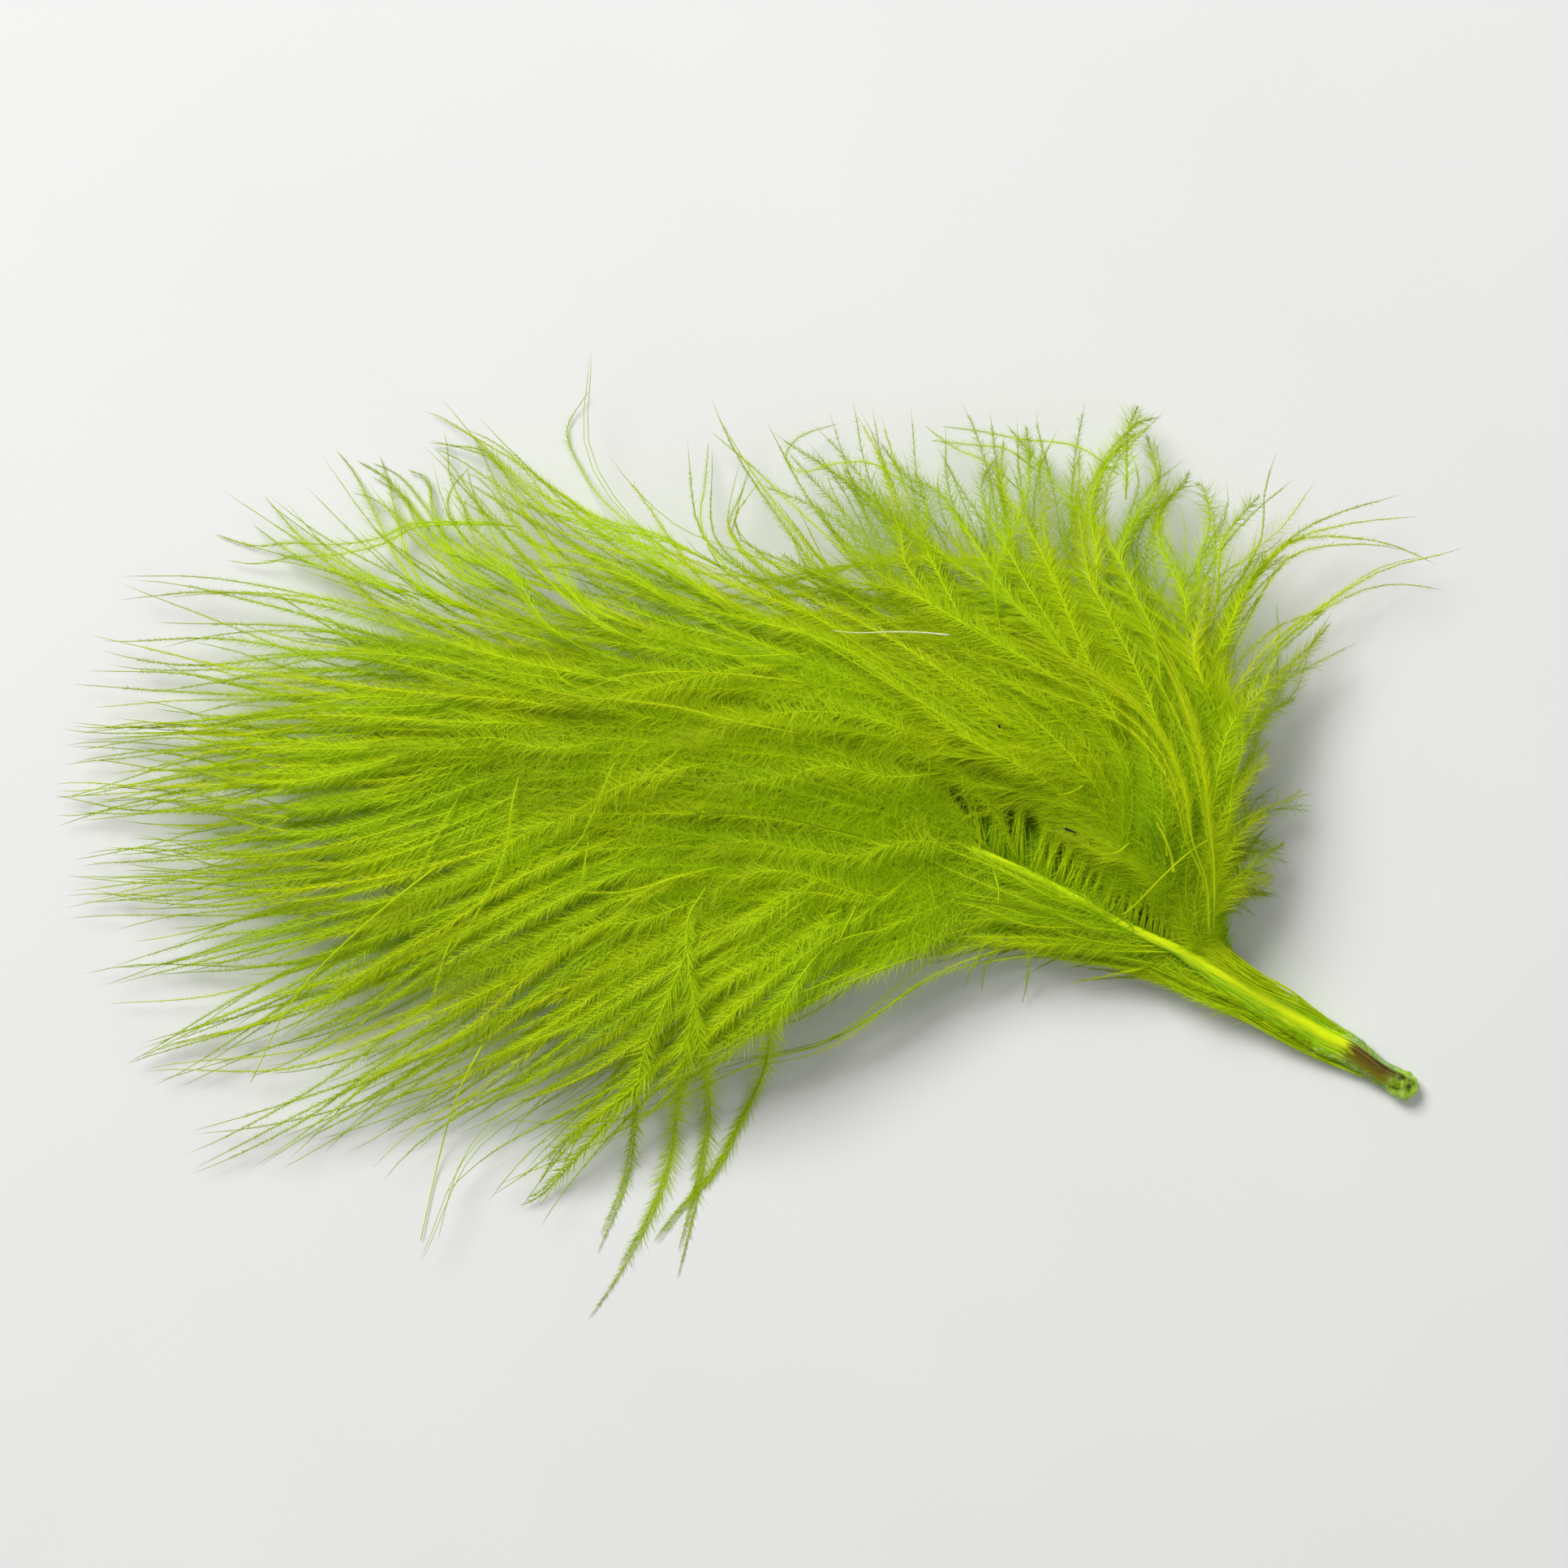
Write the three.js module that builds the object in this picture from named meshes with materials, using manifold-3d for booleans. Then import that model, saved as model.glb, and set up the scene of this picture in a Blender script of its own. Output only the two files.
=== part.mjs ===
// A dyed marabou plume lying flat. A bare quill runs on as a thin shaft, and the soft barbs grow from both
// sides of the shaft and gather into pointed locks. The whole plume grew as one piece, so it is one body.
// Millimetres. +X is the long way with the quill end on the right, +Z is up, and the plume rests on z = 0.
import * as THREE from "three";
import { mergeVertices } from "three/addons/utils/BufferGeometryUtils.js";
import Module from "manifold-3d";

// The shaft from the quill's closed end to its tip under the fluff: the place of its axis and its half width.
const SHAFT = [
  { x: 37.6, y: -14.5, z: 0.6, half: 0.25 },
  { x: 37.3, y: -14.3, z: 0.65, half: 0.68 },
  { x: 36.7, y: -14.0, z: 0.75, half: 0.84 },
  { x: 35.8, y: -13.4, z: 0.7, half: 0.76 },
  { x: 34.0, y: -12.3, z: 0.8, half: 0.88 },
  { x: 31.5, y: -10.9, z: 1.1, half: 1.05 },
  { x: 28.0, y: -8.9, z: 1.5, half: 1.0 },
  { x: 25.0, y: -7.1, z: 2.0, half: 0.75 },
  { x: 21.0, y: -4.9, z: 2.7, half: 0.6 },
  { x: 13.0, y: -0.9, z: 3.8, half: 0.5 },
  { x: 5.0, y: 2.3, z: 4.2, half: 0.4 },
  { x: -4.0, y: 4.5, z: 4.2, half: 0.3 },
  { x: -14.0, y: 5.0, z: 3.4, half: 0.2 },
];
const SHAFT_SIDES = 8;

// The locks, zone by zone round the plume. Each zone gives, for its first and its last lock, the height of
// the lock's crest, the height of its tip, its full width and its depth above the crest line. Its taper says
// how the width falls away towards the tip: above 1 a lock stays full for long, below 1 it turns to a thin
// wisp early. A run starts with the place on the shaft, as an x, where the lock grows out, and then lists
// the points that it passes through down to its tip.
const ZONES = [
  {
    name: "right fan",
    crest: [3.8, 8.0],
    tip: [1.6, 3.2],
    width: [1.8, 3.2],
    depth: [1.0, 1.5],
    taper: 1.1,
    runs: [
      [25.3, [25.0, -4.7], [26.5, -3.0], [29.5, -2.2]],
      [25.2, [24.9, -3.6], [26.3, -1.5], [30.0, -0.1]],
      [25.1, [24.9, -3.0], [26.5, -0.3], [28.4, 1.3], [31.4, 2.4]],
      [25.1, [24.8, -2.6], [26.4, 0.8], [27.5, 3.0], [29.0, 5.4]],
      [24.9, [24.7, -1.0], [26.0, 3.6], [28.0, 6.3], [30.3, 7.9], [31.9, 10.4]],
      [24.6, [24.6, 0.0], [26.0, 5.5], [28.4, 8.4], [30.8, 10.3], [33.1, 12.4]],
      [23.4, [24.1, 3.0], [24.8, 9.6], [26.8, 14.4], [29.9, 17.4], [31.6, 20.2]],
    ],
  },
  {
    name: "right wisps",
    crest: [7.6, 8.2],
    tip: [2.6, 3.2],
    width: [3.4, 3.2],
    depth: [1.4, 1.4],
    taper: 0.55,
    runs: [
      [24.3, [24.5, 1.0], [25.8, 7.2], [28.6, 10.8], [32.3, 13.2], [36.0, 14.3], [40.1, 14.4]],
      [24.0, [24.4, 2.0], [25.4, 8.5], [27.6, 13.6], [31.3, 16.5], [38.7, 15.4]],
      [23.7, [24.2, 2.5], [25.1, 9.0], [27.4, 14.2], [32.0, 17.1], [37.6, 18.9]],
      [23.1, [23.9, 3.0], [24.3, 10.2], [25.9, 16.0], [28.0, 18.9], [29.8, 20.9]],
    ],
  },
  {
    name: "crown",
    crest: [8.6, 7.2],
    tip: [4.2, 3.4],
    width: [3.0, 3.6],
    depth: [1.6, 1.8],
    taper: 1.3,
    runs: [
      [22.8, [23.6, 3.0], [23.8, 10.4], [25.2, 15.6], [25.6, 18.6], [25.0, 20.3]],
      [22.5, [23.3, 3.0], [22.9, 11.0], [22.4, 16.4], [23.0, 19.0], [24.7, 20.9]],
      [22.1, [23.0, 3.0], [21.6, 11.0], [20.9, 16.2], [22.3, 19.8], [22.0, 22.9]],
      [21.7, [22.7, 3.0], [20.6, 11.0], [19.0, 17.0], [20.0, 21.3], [23.1, 24.1]],
      [21.3, [22.3, 3.0], [19.8, 11.0], [18.2, 16.8], [18.2, 20.8], [19.2, 24.5]],
      [20.9, [22.0, 3.0], [19.0, 10.6], [16.8, 16.0], [16.2, 20.4], [16.3, 23.5]],
      [20.4, [21.6, 3.0], [18.0, 10.5], [15.6, 16.0], [15.3, 20.0], [14.2, 23.7]],
      [19.9, [21.2, 3.0], [17.2, 10.5], [14.5, 16.0], [13.6, 20.4], [13.0, 24.8]],
      [19.6, [21.0, 3.0], [16.7, 10.3], [13.7, 15.8], [12.2, 19.6], [11.6, 21.8]],
      [19.4, [20.8, 3.0], [16.2, 10.2], [12.8, 15.8], [11.0, 19.6], [10.2, 23.3]],
      [18.9, [20.3, 3.0], [15.0, 10.0], [11.0, 15.6], [8.8, 19.6], [7.8, 24.6]],
      [18.4, [19.8, 3.0], [14.0, 10.0], [9.4, 15.4], [7.2, 19.8], [4.8, 24.5]],
      [17.9, [19.3, 3.0], [13.0, 9.8], [8.2, 15.0], [5.6, 19.3], [2.4, 24.1]],
      [17.4, [18.8, 3.0], [12.0, 9.5], [7.4, 14.6], [4.8, 18.6], [1.5, 22.5]],
    ],
  },
  {
    name: "upper sweep",
    crest: [7.4, 5.4],
    tip: [3.2, 1.0],
    width: [3.8, 3.8],
    depth: [1.7, 1.5],
    taper: 1.0,
    runs: [
      [17.0, [18.0, 3.0], [10.5, 9.5], [4.2, 15.4], [0.0, 19.8], [-3.2, 24.4]],
      [16.3, [17.0, 3.4], [9.0, 9.8], [2.8, 14.0], [-1.4, 17.0], [-0.4, 21.0]],
      [15.8, [16.4, 3.4], [8.0, 9.6], [1.0, 13.6], [-3.0, 16.8], [-3.0, 22.4]],
      [14.6, [14.5, 3.6], [6.0, 9.6], [-2.0, 13.0], [-9.0, 16.9], [-14.3, 20.6], [-18.7, 24.3]],
      [13.6, [13.0, 3.6], [5.0, 9.3], [-3.5, 12.3], [-10.5, 15.5], [-14.8, 19.0], [-18.8, 22.4]],
      [12.6, [11.5, 3.8], [3.5, 9.0], [-5.0, 11.6], [-12.0, 14.6], [-16.0, 18.0], [-17.4, 21.6]],
      [11.4, [10.0, 4.0], [2.0, 8.7], [-6.0, 10.8], [-13.4, 13.9], [-19.3, 18.0]],
      [10.0, [8.0, 4.2], [0.5, 8.3], [-8.0, 10.2], [-16.0, 13.2], [-20.9, 17.0], [-24.0, 22.0]],
      [8.5, [6.0, 4.6], [-1.0, 8.0], [-10.0, 9.8], [-18.0, 13.0], [-24.0, 16.3], [-28.0, 19.3]],
      [7.0, [4.0, 4.9], [-3.0, 7.8], [-12.0, 9.6], [-20.0, 12.9], [-25.8, 15.6], [-31.0, 17.4]],
      [5.0, [2.0, 5.2], [-5.0, 7.5], [-14.0, 9.2], [-24.0, 12.2], [-31.0, 13.7], [-36.3, 14.4]],
      [3.0, [0.0, 5.4], [-7.0, 7.3], [-16.0, 8.7], [-25.0, 10.7], [-31.0, 11.9], [-37.3, 12.5]],
      [0.0, [-3.0, 5.6], [-10.0, 7.2], [-18.0, 8.3], [-27.0, 9.7], [-38.1, 10.8]],
      [-3.0, [-6.0, 5.8], [-13.0, 6.9], [-22.0, 7.6], [-30.0, 8.2], [-39.0, 8.9]],
    ],
  },
  {
    name: "tip fan",
    crest: [5.2, 5.2],
    tip: [0.9, 0.7],
    width: [3.8, 3.8],
    depth: [1.4, 1.4],
    taper: 0.95,
    runs: [
      [-6.0, [-12.0, 6.2], [-21.0, 6.2], [-30.0, 6.5], [-39.1, 6.6]],
      [-9.0, [-14.0, 5.5], [-23.0, 5.1], [-31.0, 5.1], [-39.6, 4.8]],
      [-12.0, [-17.0, 4.7], [-25.0, 3.8], [-32.0, 3.4], [-40.1, 3.2]],
      [-12.5, [-18.0, 3.9], [-25.0, 2.6], [-33.0, 1.8], [-40.0, 1.2]],
      [-10.0, [-15.0, 3.0], [-22.0, 0.9], [-30.0, -0.5], [-39.0, -0.6]],
      [-8.0, [-13.0, 2.4], [-20.0, 0.0], [-29.0, -1.7], [-39.4, -2.6]],
      [-5.4, [-11.0, 1.8], [-18.0, -1.0], [-27.0, -2.9], [-39.4, -3.9]],
    ],
  },
  {
    name: "lower sweep",
    crest: [5.2, 6.2],
    tip: [0.7, 1.2],
    width: [4.0, 3.6],
    depth: [1.4, 1.6],
    taper: 0.95,
    runs: [
      [-4.0, [-9.0, 1.0], [-16.0, -1.8], [-26.0, -4.6], [-36.8, -7.3]],
      [-2.0, [-8.0, 0.2], [-15.0, -2.8], [-25.0, -6.3], [-38.2, -8.8]],
      [-1.0, [-7.0, -0.1], [-14.0, -3.1], [-23.0, -8.0], [-29.0, -11.2], [-35.0, -14.0]],
      [0.5, [-6.0, -0.4], [-13.0, -3.3], [-22.0, -7.0], [-29.0, -9.7], [-36.0, -13.0]],
      [2.0, [-4.0, -1.0], [-11.0, -4.5], [-20.0, -9.3], [-27.0, -12.4], [-34.8, -14.2]],
      [4.0, [-2.0, -1.5], [-9.0, -5.5], [-17.0, -10.8], [-25.0, -15.2], [-32.7, -18.1]],
      [5.5, [0.0, -2.0], [-7.0, -6.3], [-15.0, -11.4], [-21.0, -14.6], [-28.2, -18.9]],
      [6.7, [1.5, -2.6], [-5.0, -7.0], [-13.0, -12.2], [-18.0, -15.0], [-23.2, -17.4]],
      [8.0, [3.0, -3.0], [-4.0, -7.6], [-12.0, -13.0], [-17.4, -16.0], [-21.6, -19.3]],
      [9.6, [5.0, -3.7], [-2.0, -8.8], [-9.0, -14.0], [-13.4, -17.6], [-17.2, -21.2]],
      [11.0, [6.0, -4.0], [-1.0, -9.3], [-7.0, -14.5], [-10.8, -18.5], [-13.6, -21.1]],
    ],
  },
  {
    name: "hanging strands",
    crest: [7.4, 6.0],
    tip: [0.9, 1.2],
    width: [2.0, 1.8],
    depth: [1.2, 1.0],
    taper: 0.9,
    runs: [
      [11.5, [6.0, -2.6], [-0.6, -3.6], [-4.6, -8.0], [-6.8, -14.5], [-7.4, -20.0], [-9.1, -24.0]],
      [12.0, [6.6, -2.8], [0.2, -4.6], [-3.8, -10.0], [-4.6, -16.0], [-6.1, -21.6], [-9.7, -27.6]],
      [12.5, [7.0, -2.2], [0.4, -2.4], [-3.4, -6.0], [-2.9, -13.0], [-3.1, -19.5], [-4.6, -25.2]],
      [13.5, [9.0, -4.0], [3.4, -6.6], [1.0, -11.0], [-1.4, -17.2], [-3.6, -20.6], [-6.3, -23.0]],
    ],
  },
  {
    name: "lower edge",
    crest: [5.2, 2.4],
    tip: [1.2, 1.2],
    width: [3.4, 1.8],
    depth: [1.6, 0.9],
    taper: 1.1,
    runs: [
      [14.5, [10.0, -4.0], [4.0, -6.8], [-2.0, -10.8], [-8.0, -14.4], [-13.0, -17.8]],
      [16.5, [12.0, -4.4], [6.0, -6.2], [0.0, -10.0], [-6.0, -12.9], [-12.5, -16.2]],
      [22.0, [18.0, -5.2], [12.0, -4.8], [6.5, -6.0], [1.6, -9.4]],
      [25.0, [21.5, -6.3], [17.0, -5.7], [13.0, -5.8], [9.4, -7.0]],
      [30.0, [26.0, -8.5], [22.0, -6.9], [17.5, -6.2]],
    ],
  },
  {
    name: "under the shaft",
    crest: [4.8, 4.4],
    tip: [3.0, 3.0],
    width: [3.4, 3.0],
    depth: [1.2, 1.2],
    taper: 1.3,
    runs: [
      [20.5, [17.0, -4.0], [12.0, -2.2], [7.0, -0.6], [2.0, -1.6]],
      [23.0, [19.5, -5.2], [14.5, -3.8], [9.0, -3.2], [3.5, -4.2]],
    ],
  },
  {
    name: "stray wisps",
    crest: [7.0, 3.6],
    tip: [3.0, 0.9],
    width: [4.4, 1.2],
    depth: [1.6, 0.7],
    taper: 0.5,
    runs: [
      [15.5, [16.0, 3.6], [7.5, 9.8], [0.6, 14.2], [-5.4, 16.9], [-9.3, 21.6], [-9.6, 27.6]],
      [9.0, [4.0, -3.3], [-3.0, -8.2], [-11.0, -13.8], [-16.0, -17.8], [-18.7, -24.4]],
      [19.0, [15.0, -5.6], [9.5, -7.9], [4.4, -11.3], [-2.0, -13.2], [-8.5, -15.7]],
    ],
  },
];

// How a lock is shaped along its run, as fractions of its length.
const STATIONS = [0, 0.12, 0.26, 0.42, 0.58, 0.74, 0.88, 1];
const CREST_AT = 0.36; // where a lock is highest
const FULL_FROM = 0.25; // the lock has its full width between these two
const FULL_TO = 0.5;
const ROOT_SHARE = 0.5; // share of the full width at the root
const BODY_FROM = 0.12; // between these two a lock reaches down to the surface it lies on
const BODY_END = 0.62;
const LAYER_STEP = 0.5; // neighbouring locks lie this much above and below each other
const UNDERCUT = 5; // how far the body of a lock is drawn under z = 0 before the flat cut

const FLOOR_BLOCK = { width: 120, depth: 90, height: 20 };
const LIME = 0xa8cc00;

const wasm = await Module();
wasm.setup();

const mix = (a, b, t) => a + (b - a) * t;
const clamp01 = (t) => Math.min(1, Math.max(0, t));

// The point of the shaft at one x, between its two nearest stations.
function shaftAt(x) {
  const next = Math.max(1, SHAFT.findIndex((station) => station.x <= x));
  const a = SHAFT[next - 1];
  const b = SHAFT[next];
  const t = (x - a.x) / (b.x - a.x);
  return new THREE.Vector3(x, mix(a.y, b.y, t), mix(a.z, b.z, t));
}

// A closed mesh through rings of points. Each ring has the same number of points, and both ends are closed
// by a fan to one point.
function skin(rings, start, end) {
  const sides = rings[0].length;
  const points = [start, ...rings.flat(), end];
  const index = [];
  const at = (ring, side) => 1 + ring * sides + (side % sides);
  for (let side = 0; side < sides; side += 1) {
    index.push(0, at(0, side + 1), at(0, side));
    for (let ring = 0; ring + 1 < rings.length; ring += 1) {
      const low = [at(ring, side), at(ring, side + 1)];
      const high = [at(ring + 1, side), at(ring + 1, side + 1)];
      index.push(low[0], low[1], high[1], low[0], high[1], high[0]);
    }
    index.push(at(rings.length - 1, side), at(rings.length - 1, side + 1), points.length - 1);
  }
  const geometry = new THREE.BufferGeometry();
  geometry.setAttribute("position", new THREE.Float32BufferAttribute(points.flatMap((p) => p.toArray()), 3));
  geometry.setIndex(index);
  return geometry;
}

// The level sideways direction of a curve at t, which a lock's width lies along.
function sideways(curve, t) {
  const along = curve.getTangentAt(t);
  return new THREE.Vector3(-along.y, along.x, 0).normalize();
}

// The height of a lock's centre line: up from the shaft to its crest, then down to its tip.
function liftAt(t, root, crest, tip) {
  if (t < CREST_AT) {
    return mix(root, crest, Math.sin((Math.PI / 2) * (t / CREST_AT)));
  }
  const fall = (t - CREST_AT) / (1 - CREST_AT);
  return mix(crest, tip, (1 - Math.cos(Math.PI * fall)) / 2);
}

// The share of its full width that a lock has at t.
function fullness(t, taper) {
  if (t < FULL_FROM) {
    return mix(ROOT_SHARE, 1, t / FULL_FROM);
  }
  return 1 - Math.pow(clamp01((t - FULL_TO) / (1 - FULL_TO)), taper);
}

// One lock: a pointed, four-sided form along its run, flat and wide, that reaches the surface under its body.
function lock(run, { crest, tip, width, depth, taper }) {
  const [root, ...passes] = run;
  const start = shaftAt(root);
  const flat = [[start.x, start.y], ...passes].map(([x, y]) => new THREE.Vector3(x, y, 0));
  const curve = new THREE.CatmullRomCurve3(flat, false, "centripetal");
  const rings = [];
  for (const t of STATIONS.slice(0, -1)) {
    const centre = curve.getPointAt(t).setZ(liftAt(t, start.z, crest, tip));
    const share = fullness(t, taper);
    const half = (width / 2) * share;
    const above = depth * share;
    const inBody = clamp01((BODY_END - t) / (BODY_END - FULL_TO)) * clamp01(t / BODY_FROM);
    const below = mix(above, centre.z + UNDERCUT, inBody);
    const side = sideways(curve, t).multiplyScalar(half);
    rings.push([
      centre.clone().add(side),
      centre.clone().setZ(centre.z + above),
      centre.clone().sub(side),
      centre.clone().setZ(centre.z - below),
    ]);
  }
  const end = curve.getPointAt(1).setZ(tip);
  return skin(rings, start, end);
}

// All locks of one zone. Heights and sizes run evenly from its first lock to its last one.
function zoneLocks(zone) {
  const last = zone.runs.length - 1;
  return zone.runs.map((run, i) => {
    const size = (pair) => mix(pair[0], pair[1], i / last);
    const layer = i % 2 ? LAYER_STEP : 0;
    return lock(run, {
      crest: size(zone.crest) - layer,
      tip: size(zone.tip),
      width: size(zone.width),
      depth: size(zone.depth),
      taper: zone.taper,
    });
  });
}

// The quill and shaft as one round, tapered rod with a closed, rounded end.
function shaft() {
  const rings = SHAFT.map((station, i) => {
    const before = SHAFT[Math.max(0, i - 1)];
    const after = SHAFT[Math.min(SHAFT.length - 1, i + 1)];
    const side = new THREE.Vector3(before.y - after.y, after.x - before.x, 0).normalize();
    const centre = new THREE.Vector3(station.x, station.y, station.z);
    return Array.from({ length: SHAFT_SIDES }, (_, k) => {
      const angle = (2 * Math.PI * k) / SHAFT_SIDES;
      const across = side.clone().multiplyScalar(station.half * Math.cos(angle));
      return centre.clone().add(across).setZ(station.z + station.half * Math.sin(angle));
    });
  });
  const [first, last] = [SHAFT[0], SHAFT[SHAFT.length - 1]];
  const start = new THREE.Vector3(first.x, first.y, first.z);
  const end = new THREE.Vector3(last.x, last.y, last.z);
  return skin(rings, start, end);
}

function toSolid(geometry) {
  const bare = geometry.index ? geometry.clone() : geometry;
  bare.deleteAttribute("normal");
  bare.deleteAttribute("uv");
  const merged = mergeVertices(bare, 1e-5);
  return new wasm.Manifold(
    new wasm.Mesh({
      numProp: 3,
      vertProperties: new Float32Array(merged.attributes.position.array),
      triVerts: new Uint32Array(merged.index.array),
    }),
  );
}

function toGeometry(solid) {
  const { vertProperties, triVerts } = solid.getMesh();
  const geometry = new THREE.BufferGeometry();
  geometry.setAttribute("position", new THREE.BufferAttribute(vertProperties, 3));
  geometry.setIndex(new THREE.BufferAttribute(triVerts, 1));
  geometry.computeVertexNormals();
  return geometry;
}

// The plume: the shaft and every lock joined, then cut off flat where it rests.
function plume() {
  const grown = ZONES.flatMap(zoneLocks).map(toSolid);
  const joined = grown.reduce((sum, piece) => sum.add(piece), toSolid(shaft()));
  const { width, depth, height } = FLOOR_BLOCK;
  const floor = new THREE.BoxGeometry(width, depth, height).translate(0, 0, -height / 2);
  return toGeometry(joined.subtract(toSolid(floor)));
}

const feather = new THREE.Mesh(
  plume(),
  new THREE.MeshStandardMaterial({ color: LIME, roughness: 0.75, metalness: 0, flatShading: true }),
);
feather.name = "feather";

const model = new THREE.Group();
model.add(feather);

export default model;
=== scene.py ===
"""A dyed marabou plume lying on a pale floor, seen from straight above.

The solid of the plume gives the flow of each lock. Here every lock is a bundle of barbs, and each barb is
a thin tapered shaft with a row of fine barbules on both sides. Lengths are in millimetres until a mesh is
made.
"""
import math

import bpy
import numpy as np
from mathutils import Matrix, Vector


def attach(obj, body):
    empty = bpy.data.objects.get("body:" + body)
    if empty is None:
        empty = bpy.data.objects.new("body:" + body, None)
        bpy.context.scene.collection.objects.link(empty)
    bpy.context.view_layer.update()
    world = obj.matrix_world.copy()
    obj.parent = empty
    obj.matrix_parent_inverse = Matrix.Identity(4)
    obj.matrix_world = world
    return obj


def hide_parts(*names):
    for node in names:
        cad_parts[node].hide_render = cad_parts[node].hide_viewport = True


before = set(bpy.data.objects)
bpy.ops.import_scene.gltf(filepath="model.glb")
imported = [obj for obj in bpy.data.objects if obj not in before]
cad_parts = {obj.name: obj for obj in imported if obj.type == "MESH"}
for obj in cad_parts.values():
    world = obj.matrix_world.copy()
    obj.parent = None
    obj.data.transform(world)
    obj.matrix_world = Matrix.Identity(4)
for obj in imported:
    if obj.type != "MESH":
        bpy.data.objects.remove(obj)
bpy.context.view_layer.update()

MM = 0.001
UP = np.array([0.0, 0.0, 1.0])
TINY = 1e-6
LEAST_LENGTH = 1e-9
SEED = 7
SEEDS = {"ladder": 100, "strands": 101, "sheath": 102}  # the zones and layers are numbered from 0
BAKE_MAP = "OFBake"

# The quill and its shaft: x, y, z and half width, from the rounded end to the thin end under the barbs.
QUILL = np.array([
    (37.6, -14.7, 0.7, 0.05),
    (37.42, -14.55, 0.74, 0.58),
    (36.93, -14.2, 0.8, 0.8),
    (36.29, -13.8, 0.76, 0.73),
    (35.52, -13.37, 0.72, 0.68),
    (34.55, -12.66, 0.76, 0.8),
    (33.64, -12.05, 0.84, 0.9),
    (32.5, -11.51, 0.98, 0.99),
    (31.42, -10.87, 1.12, 0.98),
    (29.71, -9.84, 1.5, 0.98),
    (28.42, -9.08, 1.85, 0.94),
    (26.5, -7.95, 2.45, 0.74),
    (25.5, -7.35, 2.75, 0.55),
    (24.5, -6.75, 3.0, 0.42),
    (23.7, -6.3, 3.15, 0.34),
    (21.2, -5.15, 3.5, 0.28),
    (18.0, -3.45, 3.8, 0.27),
    (15.7, -2.25, 4.0, 0.25),
    (12.9, -0.95, 4.2, 0.22),
    (9.0, 0.8, 4.2, 0.2),
    (5.0, 2.3, 4.2, 0.18),
    (-4.0, 4.5, 4.2, 0.13),
    (-14.0, 5.0, 3.4, 0.05),
])

# How the barbs of a zone, a layer or a group of strands look, unless it says otherwise.
LOOK = {
    # Low tones are also used as painted shade, and high ones as painted highlight.
    "tone": (0.2, 1.0),  # shades of its barbs, from olive at 0 over deep green to yellow at 1
    "ramus": 1.0,  # thickness of a barb's own shaft
    "thick": 1.0,  # width of its barbules
    "step": 1.0,  # distance between them
    "start": 0.05,  # share of the barb that is bare at its root
    "bare": 0.1,  # share that is bare at its tip
    "brush": 0.2,  # share over which the barbules shorten towards the tip
    "thin": 0.8,  # length of the last barbules beside the first ones
    "lean": 50.0,  # degrees between the barb and its barbules
    "tousle": 6.0,  # spread of that angle
    "splay": 24.0,  # degrees by which the barbules turn out of the level
    "upper": 0.62,  # share of a lock's barbs that lie in its upper layer
    "reach": 1.0,  # how far along the lock its barbs go
    "spread": 1.0,  # how far to its sides they go
    "aside": 0.0,  # how far beside the middle of the shaft they start, in its half widths
    "twins": 1,  # how many strands follow one line
    "apart": 0.0,  # how far their tips part
    "above": 0.05,  # height of a strand over the fluff
}

# How the short, soft barbs differ that fill the body of each lock.
FILL_LOOK = {
    "barbs": 3, "short": 0.3, "reach": 0.72, "spread": 1.25, "splay": 50.0, "fluff": 1.6, "bare": 0.0,
    "ramus": 0.7, "thin": 0.8,
}

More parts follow.
